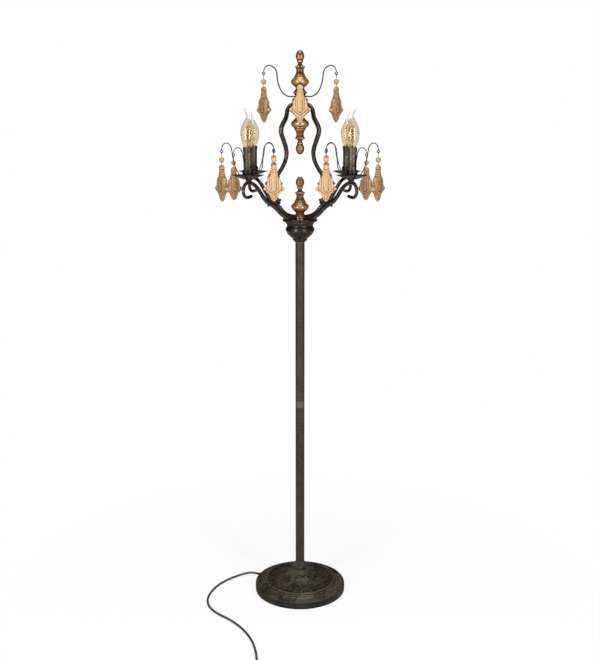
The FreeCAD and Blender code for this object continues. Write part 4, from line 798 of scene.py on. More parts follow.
class LAMP_OT_arms(bpy.types.Operator):
    """Four forged arms, the lyre bars over them and their bolts"""

    bl_idname = "lamp.arms"
    bl_label = "Arms and lyre bars"

    def execute(self, context):
        bolts = []
        for number in range(1, 5):
            turn = spun(45.0 + 90.0 * (number - 1))
            name = "arm_%d_forged" % number
            arm = forged_arm(name, 0.8 + 0.1 * number)
            arm.transform(turn)
            put(name, arm, "forged iron", "stand", "forged_iron", "arm_%d" % number)

            name = "lyre_bar_%d_forged" % number
            line = upright(flowing(LYRE_STATIONS))
            bar = rod(name, line, 5.25, 28, sizes().forge_depth / MM, 1.4 + 0.1 * number)
            bar.transform(turn)
            put(name, bar, "forged iron", "stand", "forged_iron", "lyre_bar_%d" % number)

            made = bolt("lyre_bolt_%d" % number)
            tilt = Matrix.Rotation(math.radians(90.0 - BOLT_TILT), 4, "Y")
            made.transform(turn @ placed(BOLT_POINT[0], 0, BOLT_POINT[1]) @ tilt)
            bolts.append(made)
        bolts = joined("lyre_bolt_set", bolts)
        put("lyre_bolt_set", bolts, "black wire", "stand", "forged_iron", "lyre_bolts")
        return {"FINISHED"}


# ------------------------------------------------------------------ hub and finials

HUB_OUTLINE = [
    (0, 1344), (15.5, 1344, 1), (15.7, 1345.6), (15.4, 1347, 1), (13.4, 1348.2), (12.2, 1350.4),
    (12.6, 1353.2), (13.6, 1355.2, 1), (17.4, 1357.8, 1), (17.5, 1369.2, 1), (20.2, 1370.4, 1),
    (20.5, 1373.2), (20.3, 1376.2, 1), (19.6, 1377.6), (18.6, 1379.6, 1), (15.4, 1380.4),
    (13.5, 1381.8, 1), (13.4, 1387.6, 1), (15.4, 1390, 1), (15.5, 1391.95, 1), (0, 1391.95),
]

FINIAL_OUTLINE = [
    (0, 0), (17, 0, 1), (18.2, 1), (18.1, 2.2, 1), (16.4, 3.6), (14.4, 6), (12.4, 9),
    (11.4, 11.2, 1), (11.1, 12.4), (11.6, 13.8, 1), (13.4, 16), (17, 19.4), (20.6, 22.6),
    (22.9, 26), (23.6, 29.2), (22.7, 32.6), (20.4, 35.4), (18.6, 36.9, 1), (16.6, 37.5, 1),
    (16.9, 38.6), (15.8, 40, 1), (15.2, 41), (14.6, 43.4), (12.4, 46.8), (10.7, 50.2),
    (9.7, 53.8), (9.4, 57.4), (10.2, 61), (12, 63.8, 1), (13.2, 65), (13.3, 66.4),
    (11.8, 67.6, 1), (8.4, 69), (6, 71.4), (5.7, 74.6), (6.2, 76.4, 1), (8, 78), (8.3, 79.8),
    (7.6, 81.8, 1), (8.4, 83.6), (10.4, 86.8), (11.2, 91), (11, 95.2), (9.6, 100.2), (7, 104.6),
    (3.6, 107.2), (0, 107.95),
]


def finial(name, plinth=0.0):
    """A turned finial, foot down, on a plinth of its own where one is asked for."""
    points = [(point[0], point[1] + plinth, *point[2:]) for point in FINIAL_OUTLINE]
    if plinth:
        points = [(0.0, 0.0), (16.9, 0.0, 1), (17.0, plinth, 1)] + points[2:]
    return turned(name, points, 128, spacing=0.6, ease=0.25)


class LAMP_OT_finials(bpy.types.Operator):
    """Top hub and the three turned finials"""

    bl_idname = "lamp.finials"
    bl_label = "Hub and finials"

    def execute(self, context):
        hub = turned("top_hub_turned", HUB_OUTLINE, 112)
        put("top_hub_turned", hub, "cup iron", "stand", "forged_iron", "top_hub")
        flipped = Matrix.Rotation(math.pi, 4, "X")
        for node, plinth, place in (
            ("finial_top", 0.0, placed(0, 0, 1392.05)),
            ("finial_pendant", 0.0, placed(0, 0, 1343.95) @ flipped),
            ("finial_crown", 5.0, placed(0, 0, 1066.05)),
        ):
            mesh = finial(node + "_turned", plinth)
            mesh.transform(place)
            piece = show(node + "_turned", mesh, "turned wood", rounds=14, depth=0.5 * MM)
            fit(piece, "stand", "turned_wood", node)
        return {"FINISHED"}


# ------------------------------------------------------------------ candles

PAN_AT = ARM_REACH * math.sqrt(0.5)
# Sideways and depth signs of the pans, in the arms' order.
CORNERS = ((1, 1), (-1, 1), (-1, -1), (1, -1))

PAN_OUTLINE = [
    (4.1, 1178), (12.6, 1178.2, 1), (14.6, 1179), (22, 1181.2), (31, 1184.8), (36.6, 1187),
    (40, 1187.9, 1), (40.3, 1188.5), (39.9, 1189.1, 1), (36, 1188.3), (30.4, 1186.3), (22, 1183),
    (15.4, 1181.4), (13.6, 1181.7, 1), (13.1, 1183.4), (13.1, 1190.6), (13.5, 1191.4, 1),
    (13.9, 1192.4), (13.9, 1199.6, 1), (13.5, 1201.1), (12.4, 1201.5, 1), (11.1, 1201.5, 1),
    (11.1, 1183.2, 1), (4.1, 1183.2, 1),
]

SLEEVE_OUTLINE = [
    (10.2, 1183.3), (11, 1183.3, 1), (11, 1243.2), (11.3, 1244), (11.8, 1245.4), (12, 1247, 1),
    (12.1, 1255.6, 1), (11.8, 1256.7), (11, 1257, 1), (10.2, 1256.8, 1),
]

GLASS_STATIONS = [
    (6.6, 1254.2), (7.6, 1255.2), (9.6, 1257.8), (12, 1262.6), (14.6, 1270.4), (16.5, 1279),
    (17.4, 1288), (17.2, 1296), (15.8, 1304), (13.2, 1311), (9.8, 1317.6), (6.6, 1323.4),
    (4.4, 1328.6), (3.1, 1333.4), (2.4, 1338), (1.9, 1343), (1.4, 1348), (1.1, 1350.3),
]


# Where the glass starts to bend, how far on it goes and how far it leans.
BEND_LEVEL, BEND_RISE, BEND_LEAN = 1322.0, 28.5, 7.6
GLASS_WALL = 0.9


def glass_line(height):
    """The bulb's middle line: straight, then leaning over at the bent tip."""
    over = np.clip((height - BEND_LEVEL) / BEND_RISE, 0.0, 1.0)
    return BEND_LEAN * over**1.9 - 0.8 * np.sin(over * math.pi)


def bulb_glass(name):
    """A thin glass bulb with a bent tip, leaning towards +X."""
    line = np.array(smooth_run(GLASS_STATIONS, 0.9))
    angle = np.linspace(0.0, 2.0 * math.pi, 48, endpoint=False)[None, :]
    shells = []
    for part, inset, cap in (("out", 0.0, 0.4), ("in", GLASS_WALL, 0.6)):
        keep = line[line[:, 1] < BEND_LEVEL + 4.0] if inset else line
        radius = np.concatenate([[0.0], keep[:, 0] - inset, [0.0]])[:, None]
        height = np.concatenate([[keep[0, 1] + inset], keep[:, 1], [keep[-1, 1] + cap]])
        height = np.maximum(height, keep[0, 1] + inset)[:, None]
        out = radius * np.cos(angle) + glass_line(height)
        grid = np.stack([out, radius * np.sin(angle), np.repeat(height, 48, 1)], -1)
        shell = skin(name + part, grid * MM)
        if inset:
            shell.flip_normals()
        shells.append(shell)
    return joined(name, shells)


# How far from the mast the filaments stand, and the four ways they lie.
FILAMENT_OUT = 4.2
FILAMENT_WAYS = [math.radians(20.0 + 90.0 * turn) for turn in range(4)]


def filament_set(name):
    """Four upright filaments round the bulb's glass mast."""
    sticks = []
    for turn, angle in enumerate(FILAMENT_WAYS):
        x, y = FILAMENT_OUT * math.cos(angle), FILAMENT_OUT * math.sin(angle)
        line = np.array([[x, y, z] for z in np.linspace(1270.5, 1304.5, 12)])
        sticks.append(rod(name + str(turn), line, 0.6, 12))
    return joined(name, sticks)


def filament_wires(name):
    """The mast, and the wires that carry the filaments."""
    points = [(0.0, 1255.2), (3.4, 1255.2), (2.6, 1259.0), (1.8, 1263.0), (0.8, 1268.0)]
    parts = [turned(name + "_mast", points + [(0.7, 1303.0), (0.0, 1306.0)], 20)]
    low = [(0.9, 1265.0), (2.6, 1267.2), (FILAMENT_OUT, 1269.2), (FILAMENT_OUT, 1271.2)]
    high = [(0.6, 1307.4), (2.4, 1308.4), (FILAMENT_OUT, 1306.6), (FILAMENT_OUT, 1304.0)]
    for turn, angle in enumerate(FILAMENT_WAYS):
        c, s = math.cos(angle), math.sin(angle)
        for way, run in (("low", low), ("high", high)):
            line = np.array(smooth_run(run, 0.5))
            points = np.stack([line[:, 0] * c, line[:, 0] * s, line[:, 1]], -1)
            parts.append(rod(name + way + str(turn), points, 0.28, 8))
    return joined(name, parts)


class LAMP_OT_candles(bpy.types.Operator):
    """Drip pans, candle sleeves and bulbs"""

    bl_idname = "lamp.candles"
    bl_label = "Candles"

    def execute(self, context):
        sticks, wires, places = [], [], []
        for number, (side, depth) in enumerate(CORNERS, start=1):
            here = placed(side * PAN_AT, depth * PAN_AT, 0.0, 0.0 if side > 0 else 180.0)
            places.append(here)
            for node, points, steps, finish, slot in (
                ("drip_pan", PAN_OUTLINE, 120, "pan iron", "pan_iron"),
                ("candle_sleeve", SLEEVE_OUTLINE, 72, "sleeve iron", "sleeve_iron"),
            ):
                name = "%s_%d_turned" % (node, number)
                mesh = turned(name, points, steps, loop=True, spacing=0.9, ease=0.2)
                mesh.transform(here)
                put(name, mesh, finish, "stand", slot, "%s_%d" % (node, number))
            name = "bulb_%d_blown" % number
            mesh = bulb_glass(name)
            mesh.transform(here)
            put(name, mesh, "amber glass", "stand", "amber_glass", "bulb_glass_%d" % number)
            sticks.append(filament_set("sticks_%d" % number))
            wires.append(filament_wires("wires_%d" % number))
        sticks = joined("filament_sticks", sticks, places)
        put("filament_sticks", sticks, "filament coat", "stand", "filament", "bulb_filaments")
        wires = joined("filament_wires", wires, places)
        put("filament_wires", wires, "filament coat", "stand", "filament")
        repaint("cap brass", "bulb_caps")
        repaint("holder moulding", "lampholders")
        return {"FINISHED"}


# ------------------------------------------------------------------ hooks

# Radius of a hook's eye, and where the eyes of the hub's hooks hang.
EYE = 3.1
HUB_HOOK_OUT, HUB_HOOK_PIVOT = 93.8, 1438.5


def hook(name, stations, out, pivot, wire, fine):
    """A bent wire that ends in a closed eye, whose lowest inside is the pivot."""
    centre = pivot + EYE
    run = list(stations) + [(out - 0.6, pivot + 2 * EYE + 3.4, -86.0), (out + EYE, centre, -90.0)]
    line = flowing(run, 1.0)
    around = np.radians(np.linspace(0.0, -338.0, 40)[1:])
    loop = np.stack([out + EYE * np.cos(around), centre + EYE * np.sin(around)], -1)
    walked = distance_along(np.concatenate([line, loop]))
    whole = distance_along(line)[-1]
    radius = np.interp(walked, [0.0, whole * 0.75, whole], [wire, wire, fine])
    return rod(name, upright(np.concatenate([line, loop])), radius, 16, 0.03, 1.3)


def hub_hook(name):
    stations = [(13.4, 1384.0, 0.0), (25.0, 1384.0, 0.0), (60.0, 1441.5, 86.0), (80.2, 1461.7, 0.0)]
    return hook(name, stations, HUB_HOOK_OUT, HUB_HOOK_PIVOT, 1.65, 1.1)


def pan_hook(name, out, pivot):
    stations = [(13.0, 1185.0, 20.0), (22.0, 1190.6, 55.0), (out - 29.0, pivot - 18.0, 78.0)]
    stations += [(out - 25.4, pivot + 6.0, 84.0), (out - 12.0, pivot + 23.6, 0.0)]
    return hook(name, stations, out, pivot, 1.25, 1.05)


def pan_hook_sizes(depth, outward):
    """Reach and pivot height of a pan's hook."""
    if depth < 0:
        return 65.0, 1243.5
    return (54.0, 1228.5) if outward else (57.0, 1242.5)


class LAMP_OT_hooks(bpy.types.Operator):
    """The wire hooks on the hub and on the pans"""

    bl_idname = "lamp.hooks"
    bl_label = "Hooks"

    def execute(self, context):
        wires = [hub_hook("hub_hook_%d" % number) for number in range(4)]
        wires = joined("hub_hook_wires", wires, [spun(90.0 * number) for number in range(4)])
        put("hub_hook_wires", wires, "black wire", "stand", "black_wire", "hub_hooks")
        wires, places = [], []
        for side, depth in CORNERS:
            for outward in (True, False):
                wires.append(pan_hook("pan_hook", *pan_hook_sizes(depth, outward)))
                angle = 0.0 if (side > 0) == outward else 180.0
                places.append(placed(side * PAN_AT, depth * PAN_AT, 0.0, angle))
        wires = joined("pan_hook_wires", wires, places)
        put("pan_hook_wires", wires, "black wire", "stand", "black_wire", "pan_hooks")
        return {"FINISHED"}


# ------------------------------------------------------------------ pendants

# Where bead and drop hang below the pivot, the drop's length and its columns of points.
BEAD_BELOW, DROP_BELOW = 17.5, 29.5
DROP_LENGTH = 91.0
FACE_COLUMNS, WALL_COLUMNS = 57, 7

# Half width and half thickness of the carved drop at each distance below its top.
DROP_WIDTHS = [
    (0, 3), (2, 5.4), (5, 7.4), (9, 7.6), (12, 6.6), (15, 7.4), (18, 7.6), (20, 8.4), (26, 9.2),
    (29.5, 10.2), (32, 12.6), (35, 15.2), (39, 16.6), (46, 17.2), (51, 18.4), (54, 20.8),
    (56.4, 24.6), (58.6, 26.3), (61.4, 26), (63.6, 22.6), (66, 19.4), (69, 16), (73, 12.2),
    (76.5, 10.2), (80, 9.2), (84, 7.4), (87.6, 5.4), (90, 2.8), (91, 0.8),
]
DROP_DEPTHS = [
    (0, 2.2), (3, 4.2), (9, 5.3), (15, 5), (18, 4.4), (24, 5.6), (36, 6.9), (52, 7), (62, 6.2),
    (67, 4.9), (74, 5), (82, 4.4), (88, 3), (91, 1.2),
]


def hump(value, middle, reach):
    return np.exp(-(((value - middle) / reach) ** 2))


def between(value, start, end, start_ease, end_ease):
    """One between two levels, easing to nothing past them."""
    return np.clip((value - start) / start_ease, 0, 1) * np.clip((end - value) / end_ease, 0, 1)


# Lines carved along the drop, by region: height, how far out they run, how much further
# out at each millimetre below a level, that level, and half their width.
CARVED_LINES = {
    "body": [
        (0.5, 0.0, 0.0, 0.0, 5.0), (-0.9, 11.2, 0.10, 44.0, 0.8), (0.35, 13.6, 0.12, 44.0, 1.3),
        (-0.45, 5.6, 0.05, 30.0, 0.55),
    ],
    "neck": [(0.5, 0.0, 0.0, 0.0, 1.6), (-0.75, 3.4, 0.10, 12.0, 0.7)],
    "leaf": [(0.5, 0.0, 0.0, 0.0, 1.5), (-0.8, 3.2, 0.0, 0.0, 0.7)],
}
# Pits: how deep, how far out, how much further out down the row, its level, their half
# width and half length, and the levels where they lie.
CARVED_PITS = [
    (1.5, 6.6, 0.09, 14, 1.15, 1.2, (14.2, 18.4, 22.6, 26.8)),
    (0.8, 4.6, 0, 0, 0.8, 1.3, (3.6, 7.6)),
    (1.2, 6.8, -0.22, 76.4, 1, 1.05, (76.4, 80, 83.6)),
]


def carving(across, down, half):
    """Height of the carving: leaves and scrolls stand up, veins and pits go in."""
    x = np.abs(across)
    share = x / np.maximum(half, 1.0)
    regions = {
        "body": between(down, 30.0, 67.0, 5.0, 4.0),
        "neck": between(down, 11.0, 33.0, 2.0, 3.0),
        "leaf": between(down, 74.0, 90.0, 2.0, 3.0),
    }
    ripple = 0.14 * np.sin(down * 1.1 - x * 1.2)
    rise = ripple * regions["body"] * np.clip((share - 0.62) * 6.0, 0, 1)
    for region, lines in CARVED_LINES.items():
        for height, out, lean, level, reach in lines:
            rise += height * hump(x, out + lean * (down - level), reach) * regions[region]
    for height, out, lean, level, wide, long, spots in CARVED_PITS:
        for spot in spots:
            rise -= height * hump(x, out + lean * (spot - level), wide) * hump(down, spot, long)
    rise -= 1.3 * hump(down, 11.4 - 0.04 * x * x, 0.9) * (down < 20.0)
    knob = np.sqrt((x - 22.0) ** 2 + (down - 59.8) ** 2)
    rise += 1.6 * hump(knob, 0.0, 2.5) - 1.3 * hump(knob, 4.5, 0.85) * (down < 70.0)
    brow = 72.5 - 0.55 * x - 0.010 * x * x
    rise -= 1.5 * hump(down, brow + 1.4, 1.0) * (x < 20.0)
    rise += 0.7 * hump(down, brow - 1.4, 1.6) * (x < 18.0)
    return rise


def carved_drop(name):
    """The wooden drop, carved on both faces, hanging down from its own top."""
    down = np.concatenate([[0.0], np.linspace(0.25, DROP_LENGTH - 0.25, 150), [DROP_LENGTH]])
    half = np.interp(down, *zip(*DROP_WIDTHS))
    smooth = np.convolve(np.pad(half, 2, "edge"), [0.1, 0.22, 0.36, 0.22, 0.1], "valid")
    scallop = 0.32 * np.sin(down * 1.5) * ((down > 12) & (down < 30) | (down > 72) & (down < 88))
    half = np.maximum(smooth + scallop, 0.4)
    thick = np.interp(down, *zip(*DROP_DEPTHS))
    share = np.sin(np.linspace(-math.pi / 2, math.pi / 2, FACE_COLUMNS))[None, :]
    across = half[:, None] * share
    level = np.repeat(down[:, None], FACE_COLUMNS, 1)
    crown = thick[:, None] * (0.62 + 0.38 * np.sqrt(np.clip(1.0 - share**2, 0.0, 1.0)))
    fade = np.clip(1.0 - share**10, 0.0, 1.0) * np.clip((DROP_LENGTH - level) / 3.0, 0, 1)
    depth = sizes().carving_depth / MM / 1.5
    rise = carving(across, level, half[:, None]) * fade * depth
    front = np.stack([across, -(crown + np.maximum(rise, -0.75 * crown)), -level], -1)
    back = front[:, ::-1] * np.array([1.0, -1.0, 1.0])
    walls = []
    for side in (1.0, -1.0):
        layers = side * np.linspace(-1.0, 1.0, WALL_COLUMNS + 2)[None, 1:-1]
        dent = 0.9 * hump(np.abs(layers), 0.34, 0.12) - 0.5 * (1.0 - layers**2)
        edge = side * (half[:, None] - dent * np.clip(half[:, None] / 9.0, 0, 1))
        depth = layers * thick[:, None] * 0.62
        walls.append(np.stack([edge, depth, np.repeat(-down[:, None], WALL_COLUMNS, 1)], -1))
    grid = np.concatenate([front, walls[0], back, walls[1]], 1)
    return skin(name, grid * MM)


def hung_bead(name):
    """A turned bead with a small flat and bore at either end."""
    r = sizes().bead_radius / MM
    points = [(0.9, -BEAD_BELOW - r * 0.985, 1)]
    for tilt in range(-72, 73, 12):
        a = math.radians(tilt)
        points.append((r * math.cos(a), -BEAD_BELOW + r * math.sin(a)))
    points.append((0.9, -BEAD_BELOW + r * 0.985, 1))
    return turned(name, points, 48, loop=True, spacing=0.6)


def eye_pin(name):
    """The ring that hangs in a hook's eye, and the pin below it."""
    around = np.radians(np.linspace(95.0, 95.0 + 345.0, 44))
    reach = 3.0
    middle = 1.1 + 0.3 + 0.8 - reach
    ring = np.stack([np.zeros(44), reach * np.cos(around), middle + reach * np.sin(around)], -1)
    ring = rod(name + "_ring", ring, 0.75, 12)
    shaft = rod(name + "_shaft", straight(-4.0, -37.0, 24), 0.7, 12)
    points = [(0.0, -25.9), (1.2, -25.8), (1.5, -25.2), (1.2, -24.5), (0.0, -24.4)]
    return joined(name, [ring, shaft, turned(name + "_stop", points, 20, spacing=0.3)])


def pendant_places():
    """Each pendant: its pivot, its hook's direction, its own turn and its wood."""
    found = []
    for number in range(4):
        angle = math.radians(90.0 * number)
        spot = (HUB_HOOK_OUT * math.cos(angle), HUB_HOOK_OUT * math.sin(angle), HUB_HOOK_PIVOT)
        yaw = (50.0, 0.0, -50.0, 0.0)[number]
        found.append((spot, 90.0 * number, yaw, "pale" if number == 3 else "carved"))
    for side, depth in CORNERS:
        for outward in (True, False):
            out, pivot = pan_hook_sizes(depth, outward)
            way = side if outward else -side
            yaw = 0.0
            if outward:
                yaw = side * (50.0 if depth < 0 else -37.0)
            elif depth > 0:
                yaw = side * 24.0
            spot = (side * PAN_AT + way * out, depth * PAN_AT, pivot)
            wood = "pale" if depth < 0 and not outward else "carved"
            found.append((spot, 0.0 if way > 0 else 180.0, yaw, wood))
    return found


SHARED = {}


def hung(name, key, make, *finish):
    """A piece that is made the first time and shares that first one's mesh after."""
    if key in SHARED:
        return add(name, SHARED[key])
    piece = show(name, make(key), *finish)
    SHARED[key] = piece.data
    return piece


class LAMP_OT_pendants(bpy.types.Operator):
    """Twelve hanging pendants, each on its own swinging body"""

    bl_idname = "lamp.pendants"
    bl_label = "Pendants"

    def execute(self, context):
        for number, (spot, hook_turn, yaw, wood) in enumerate(pendant_places(), start=1):
            tag = "pendant_%d" % number
            finish = wood + " wood"
            drop = hung(tag + "_drop", "drop_" + wood, carved_drop, finish, 50.0, 12, 0.45 * MM)
            bead = hung(tag + "_bead", "bead_" + wood, hung_bead, finish)
            wire = hung(tag + "_pin", "eye_pin", eye_pin, "black wire")
            pivot = Vector(spot) * MM
            drop.location = pivot - Vector((0, 0, DROP_BELOW * MM))
            drop.rotation_euler.z = math.radians(yaw)
            bead.location = pivot
            wire.location = pivot
            wire.rotation_euler.z = math.radians(hook_turn)
            body = "swing_%d" % number
            fit(drop, body, wood + "_wood", tag)
            fit(bead, body, wood + "_wood")
            fit(wire, body, "black_wire")
        return {"FINISHED"}


# ------------------------------------------------------------------ cord, switch and plug

INLET = math.radians(151.0)
OUTWARD = Vector((math.cos(INLET), math.sin(INLET), 0.0))
INLET_LEVEL = 9.0
COIL_X, COIL_Y = 80.0, -476.0
# Radii of the coil's half turns: in on the lower layer, out again on the upper one.
COIL_RADII = (43.0, 39.5, 36.0, 32.5, 29.0, 32.5, 36.0, 39.5, 43.0)
COIL_EDGE = COIL_RADII[0]
CORD_LEVEL, UPPER_LEVEL = 3.4, 10.4
SWITCH_HALF = 35.0
SWITCH_START = COIL_X - 120.0
SWITCH_ROW = COIL_Y + COIL_EDGE
PLUG_START = COIL_X - 40.0

# The cord's route over the floor, in millimetres: (x, y, height above where it lies).
CORD_ROUTE = [
    (-154.2, 77.8, 4.4), (-178.9, 69, 1.6), (-208.4, 47.6, 0), (-235.6, 15, 0), (-254, -27, 0),
    (-262.6, -72, 0), (-254.4, -116, 0), (-229, -153, 0), (-190, -186, 0), (-155, -229, 0),
    (-127, -283, 0), (-112, -341, 0), (-107, -396, 0),
]


def cord_corners():
    """The cord's corner points: from the base to the switch, through it and round the coil."""
    level = Vector((0, 0, INLET_LEVEL))
    points = [OUTWARD * 142.0 + level, OUTWARD * 158.0 + level]
    points += [Vector((x, y, CORD_LEVEL + lift)) for x, y, lift in CORD_ROUTE]
    for x in (SWITCH_START - 37.0, COIL_X - 50.0, COIL_X - 8.0):
        points.append(Vector((x, SWITCH_ROW, CORD_LEVEL)))
    side, across = 1.0, COIL_EDGE
    for number, radius in enumerate(COIL_RADII):
        middle = across - side * radius
        reach = side * radius / math.cos(math.radians(14.0))
        for step in range(6):
            angle = math.radians(15.0 + 30.0 * step)
            climbed = 0.0 if number < 4 else 1.0 if number > 4 else (step + 0.5) / 6.0
            height = CORD_LEVEL + (UPPER_LEVEL - CORD_LEVEL) * climbed
            x = COIL_X + reach * math.sin(angle)
            points.append(Vector((x, COIL_Y + middle + reach * math.cos(angle), height)))
        across -= side * 2.0 * radius
        side = -side
    for x in (COIL_X - 8.0, PLUG_START):
        points.append(Vector((x, COIL_Y - COIL_EDGE, UPPER_LEVEL)))
    return points


def cord_curve(name):
    """The cord as one smooth curve with a round section."""
    curve = bpy.data.curves.new(name, "CURVE")
    curve.dimensions = "3D"
    curve.bevel_depth = sizes().cord_diameter / 2.0
    curve.bevel_resolution = 5
    curve.use_fill_caps = True
    curve.resolution_u = 8
    points = cord_corners()
    spline = curve.splines.new("NURBS")
    spline.points.add(len(points) - 1)
    for point, corner in zip(spline.points, points):
        point.co = (*(corner * MM), 1.0)
    spline.order_u = 3
    spline.use_endpoint_u = True
    curve.materials.append(coat("cord skin"))
    return add(name, curve)


def loft(name, sections, steps=48):
    """A moulding along +X. A section is (x, half width, half height, middle height, fullness)."""
    angle = np.linspace(0.0, 2.0 * math.pi, steps, endpoint=False)
    c, s = np.cos(angle), np.sin(angle)
    rows = []
    for x, wide, tall, middle, full in sections:
        power = 2.0 / full
        y = np.sign(c) * np.abs(c) ** power * wide
        z = np.sign(s) * np.abs(s) ** power * tall + middle
        rows.append(np.stack([np.full(steps, x), y, z], -1))
    return skin(name, np.array(rows) * MM)


def strain_relief(name):
    """The ribbed relief where the cord leaves the base, along +Z from the wall."""
    points = [(3.4, -6.0), (6.6, -6.0, 1), (6.6, -3.1, 1), (5.1, -3.1, 1), (5.1, 0.2, 1)]
    points += [(6.4, 0.2, 1), (6.4, 1.6, 1), (5.4, 2.4, 1)]
    for rib in range(4):
        z, r = 3.2 + 2.5 * rib, 5.1 - 0.27 * rib
        points += [(r, z, 1), (r, z + 1.3, 1), (r - 0.7, z + 1.5, 1), (r - 0.7, z + 2.3, 1)]
    points += [(4.0, 13.2, 1), (3.85, 14.0, 1), (3.4, 14.0)]
    return turned(name, points, 40, loop=True, spacing=0.5, ease=0.15)


def switch_shell(name):
    """A low foot switch, flat under, along +X about its own middle."""
    sections = []
    for share in np.linspace(-1.0, 1.0, 41):
        slim = max(1.0 - abs(share) ** 3.2, 0.0)
        wide = 5.2 + 13.6 * slim**0.62
        tall = 4.6 + 5.2 * slim**0.8
        sections.append((SWITCH_HALF * share, wide, tall, tall + 0.1, 3.4))
    ends = [(side * SWITCH_HALF, 0.01, 0.01, sections[0][3], 2.0) for side in (-1.0, 1.0)]
    return loft(name, ends[:1] + sections + ends[1:], 64)


def plug_moulding(name):
    """A flat plug with finger grips and a ribbed relief, along +X from the cord."""
    sections = [(0.0, 0.01, 0.01, 0.0, 2.0), (0.0, 3.8, 3.8, 0.0, 2.0)]
    for rib in range(5):
        x, r = 1.2 + 3.2 * rib, 4.1 + 0.35 * rib
        sections += [(x, r, r, 0, 2.1), (x + 1.7, r, r, 0, 2.1)]
        sections += [(x + 1.9, r - 0.8, r - 0.8, 0, 2.1), (x + 2.9, r - 0.8, r - 0.8, 0, 2.1)]
    sections += [(17.8, 6.0, 5.4, 0, 2.4), (21.0, 8.6, 7.4, 0, 2.8), (25.0, 11.0, 9.0, 0, 3.2)]
    for groove in range(4):
        x = 28.0 + 3.6 * groove
        sections += [(x, 12.2, 9.8, 0, 3.6), (x + 1.7, 12.3, 9.8, 0, 3.6)]
        sections += [(x + 2.1, 11.6, 9.4, 0, 3.6), (x + 3.1, 11.6, 9.4, 0, 3.6)]
    sections += [(43.0, 12.8, 9.9, 0, 4.2), (46.0, 13.3, 10.0, 0, 5.0), (53.0, 13.3, 10.0, 0, 5.0)]
    sections += [(53.8, 12.7, 9.4, 0, 5.0), (54.0, 12.0, 8.8, 0, 5.0), (54.0, 0.01, 0.01, 0, 5.0)]
    return loft(name, sections, 64)


BUTTON_OUTLINE = [
    (0, 14.9), (9.9, 14.9, 1), (9.95, 21.6, 1), (9.4, 22.8), (8.2, 23.4, 1), (7.6, 23, 1),
    (4, 22.7), (0, 22.6),
]


class LAMP_OT_cord(bpy.types.Operator):
    """The mains cord with its relief, foot switch and plug"""

    bl_idname = "lamp.cord"
    bl_label = "Cord and plug"

    def execute(self, context):
        relief = strain_relief("cord_relief")
        foot = OUTWARD * 128.0 + Vector((0, 0, INLET_LEVEL))
        lie = Vector((0, 0, 1)).rotation_difference(OUTWARD).to_matrix().to_4x4()
        relief.transform(Matrix.Translation(foot * MM) @ lie)
        moulding = "fitting moulding"
        put("cord_relief", relief, moulding, "stand", "brown_cord", "cord_grommet")

        here = placed(SWITCH_START + SWITCH_HALF, SWITCH_ROW, 0)
        shell = switch_shell("switch_shell")
        shell.transform(here)
        shell = put("switch_shell", shell, moulding, "stand", "switch_plastic", "switch_body")
        button = turned("switch_cap", BUTTON_OUTLINE, 56, spacing=0.6)
        button.transform(here)
        button = put("switch_cap", button, moulding, "button", "switch_plastic", "switch_button")

        plug = plug_moulding("plug_moulding")
        plug.transform(placed(PLUG_START, COIL_Y - COIL_EDGE, UPPER_LEVEL, 180.0))
        plug = put("plug_moulding", plug, moulding, "stand", "switch_plastic", "plug_body")
        repaint("cap brass", "plug_blades")

        flex = cord_curve("mains_flex")
        fit(flex, "stand", "brown_cord", "cord", "cord_coil")
        tuple(cord_corners()[0] * MM)
        return {"FINISHED"}


# ------------------------------------------------------------------ stage


def soft_box(name, spot, aim, width, height, watts):
    """A large soft lamp that points at a spot."""
    lamp = bpy.data.lights.new(name, "AREA")
    lamp.shape = "RECTANGLE"
    lamp.size = width
    lamp.size_y = height
    lamp.energy = watts
    piece = add(name, lamp)
    piece.location = spot
    piece.rotation_euler = (Vector(aim) - Vector(spot)).to_track_quat("-Z", "Y").to_euler()


def studio_floor():
    """A pale floor that fades to white away from the lamp."""
    mesh = bpy.data.meshes.new("studio_floor")
    reach = 30.0
    corners = [(x * reach, y * reach, 0) for x, y in ((-1, -1), (1, -1), (1, 1), (-1, 1))]
    mesh.from_pydata(corners, [], [(0, 1, 2, 3)])
    material = bpy.data.materials.new("pale_floor")
    mesh.materials.append(material)
    paint = Paint(material)
    spot = paint.node("ShaderNodeVectorMath", {"operation": "LENGTH"}, {0: paint.place()}, 1)
    away = ((spot - 0.25) * 1.5).held()
    seen = paint.node("ShaderNodeLightPath", output="Is Camera Ray")
    through = paint.node("ShaderNodeLightPath", output="Is Transmission Ray")
    matt = paint.node("ShaderNodeBsdfDiffuse", {}, {"Color": tint("floor_pale")})
    white = paint.node("ShaderNodeEmission", {}, {"Color": (1.0, 1.0, 1.0), "Strength": 1.0})
    share = ((seen + through).held() * (away * 0.18 + 0.82)).held()
    paint.finish(paint.node("ShaderNodeMixShader", {}, {0: share, 1: matt, 2: white}))
    add("studio_floor", mesh)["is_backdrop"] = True


def studio_air():
    """Soft light from all round, and a white background."""
    world = bpy.data.worlds.new("studio_air")
    bpy.context.scene.world = world
    paint = Paint(world)
    path = paint.node("ShaderNodeLightPath", output="Is Camera Ray")
    bright = (path + path.out("Is Transmission Ray")).held()
    strength = bright * 0.78 + 0.22 - path.out("Is Glossy Ray") * 0.17
    air = paint.node("ShaderNodeBackground", {}, {"Color": (1.0, 1.0, 1.0), "Strength": strength})
    paint.node("ShaderNodeOutputWorld", {}, {"Surface": air})


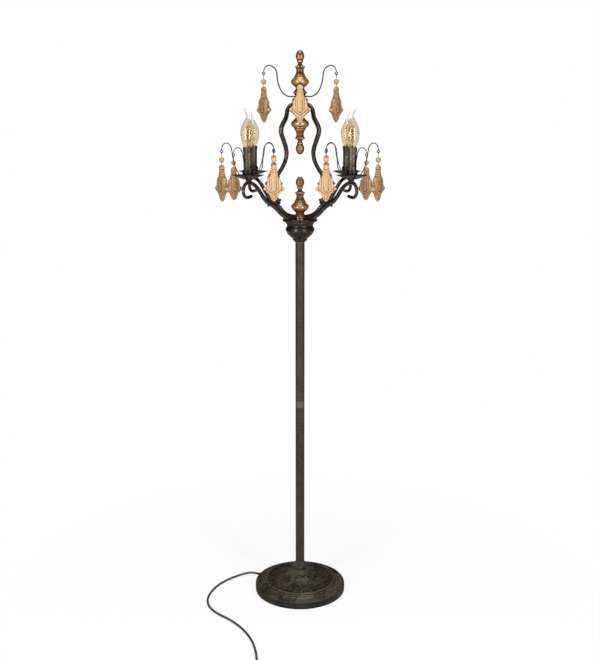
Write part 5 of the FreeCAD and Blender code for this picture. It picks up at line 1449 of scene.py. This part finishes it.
class LAMP_OT_stage(bpy.types.Operator):
    """Camera, floor and soft light"""

    bl_idname = "lamp.stage"
    bl_label = "Stage"

    def execute(self, context):
        scene = context.scene
        lens = bpy.data.cameras.new("camera")
        lens.lens = 50.28
        lens.sensor_width = 36.0
        lens.clip_end = 100.0
        camera = add("camera", lens)
        camera.location = (0.0, -2.463, 1.290)
        camera.rotation_euler = (math.radians(90.0 - 12.03), 0.0, 0.0)
        scene.camera = camera
        scene.view_settings.view_transform = "Standard"
        studio_floor()
        studio_air()
        for name, side in (("left_softbox", -1.3), ("right_softbox", 1.3)):
            soft_box(name, (side, -1.9, 1.3), (0, 0, 0.95), 0.45, 2.0, 48.0)
        soft_box("top_softbox", (0.0, -0.4, 3.0), (0, 0, 0.6), 1.2, 1.2, 30.0)
        return {"FINISHED"}


# ------------------------------------------------------------------ panel and registration

STEPS = (
    LAMP_OT_stage,
    LAMP_OT_cord,
    LAMP_OT_base,
    LAMP_OT_crown,
    LAMP_OT_arms,
    LAMP_OT_finials,
    LAMP_OT_candles,
    LAMP_OT_hooks,
    LAMP_OT_pendants,
)


class LAMP_PT_panel(bpy.types.Panel):
    bl_idname = "LAMP_PT_panel"
    bl_label = "Candlestick Floor Lamp"
    bl_space_type = "VIEW_3D"
    bl_region_type = "UI"
    bl_category = "Lamp"

    def draw(self, context):
        for group in (context.scene.lamp_sizes, context.scene.lamp_colours):
            for name in group.__annotations__:
                self.layout.prop(group, name)
        for step in STEPS:
            self.layout.operator(step.bl_idname)


CLASSES = (LampSizes, LampColours, *STEPS, LAMP_PT_panel)


def register():
    for item in CLASSES:
        bpy.utils.register_class(item)
    bpy.types.Scene.lamp_sizes = PointerProperty(type=LampSizes)
    bpy.types.Scene.lamp_colours = PointerProperty(type=LampColours)


def unregister():
    del bpy.types.Scene.lamp_sizes
    del bpy.types.Scene.lamp_colours
    for item in reversed(CLASSES):
        bpy.utils.unregister_class(item)


def main():
    register()
    for step in STEPS:
        group, name = step.bl_idname.split(".")
        getattr(getattr(bpy.ops, group), name)()
    boxes = {"cad": CAD_BOX, "visual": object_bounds()}
    boxes = {key: [list(corner) for corner in box] for key, box in boxes.items()}


if __name__ == "__main__":
    main()
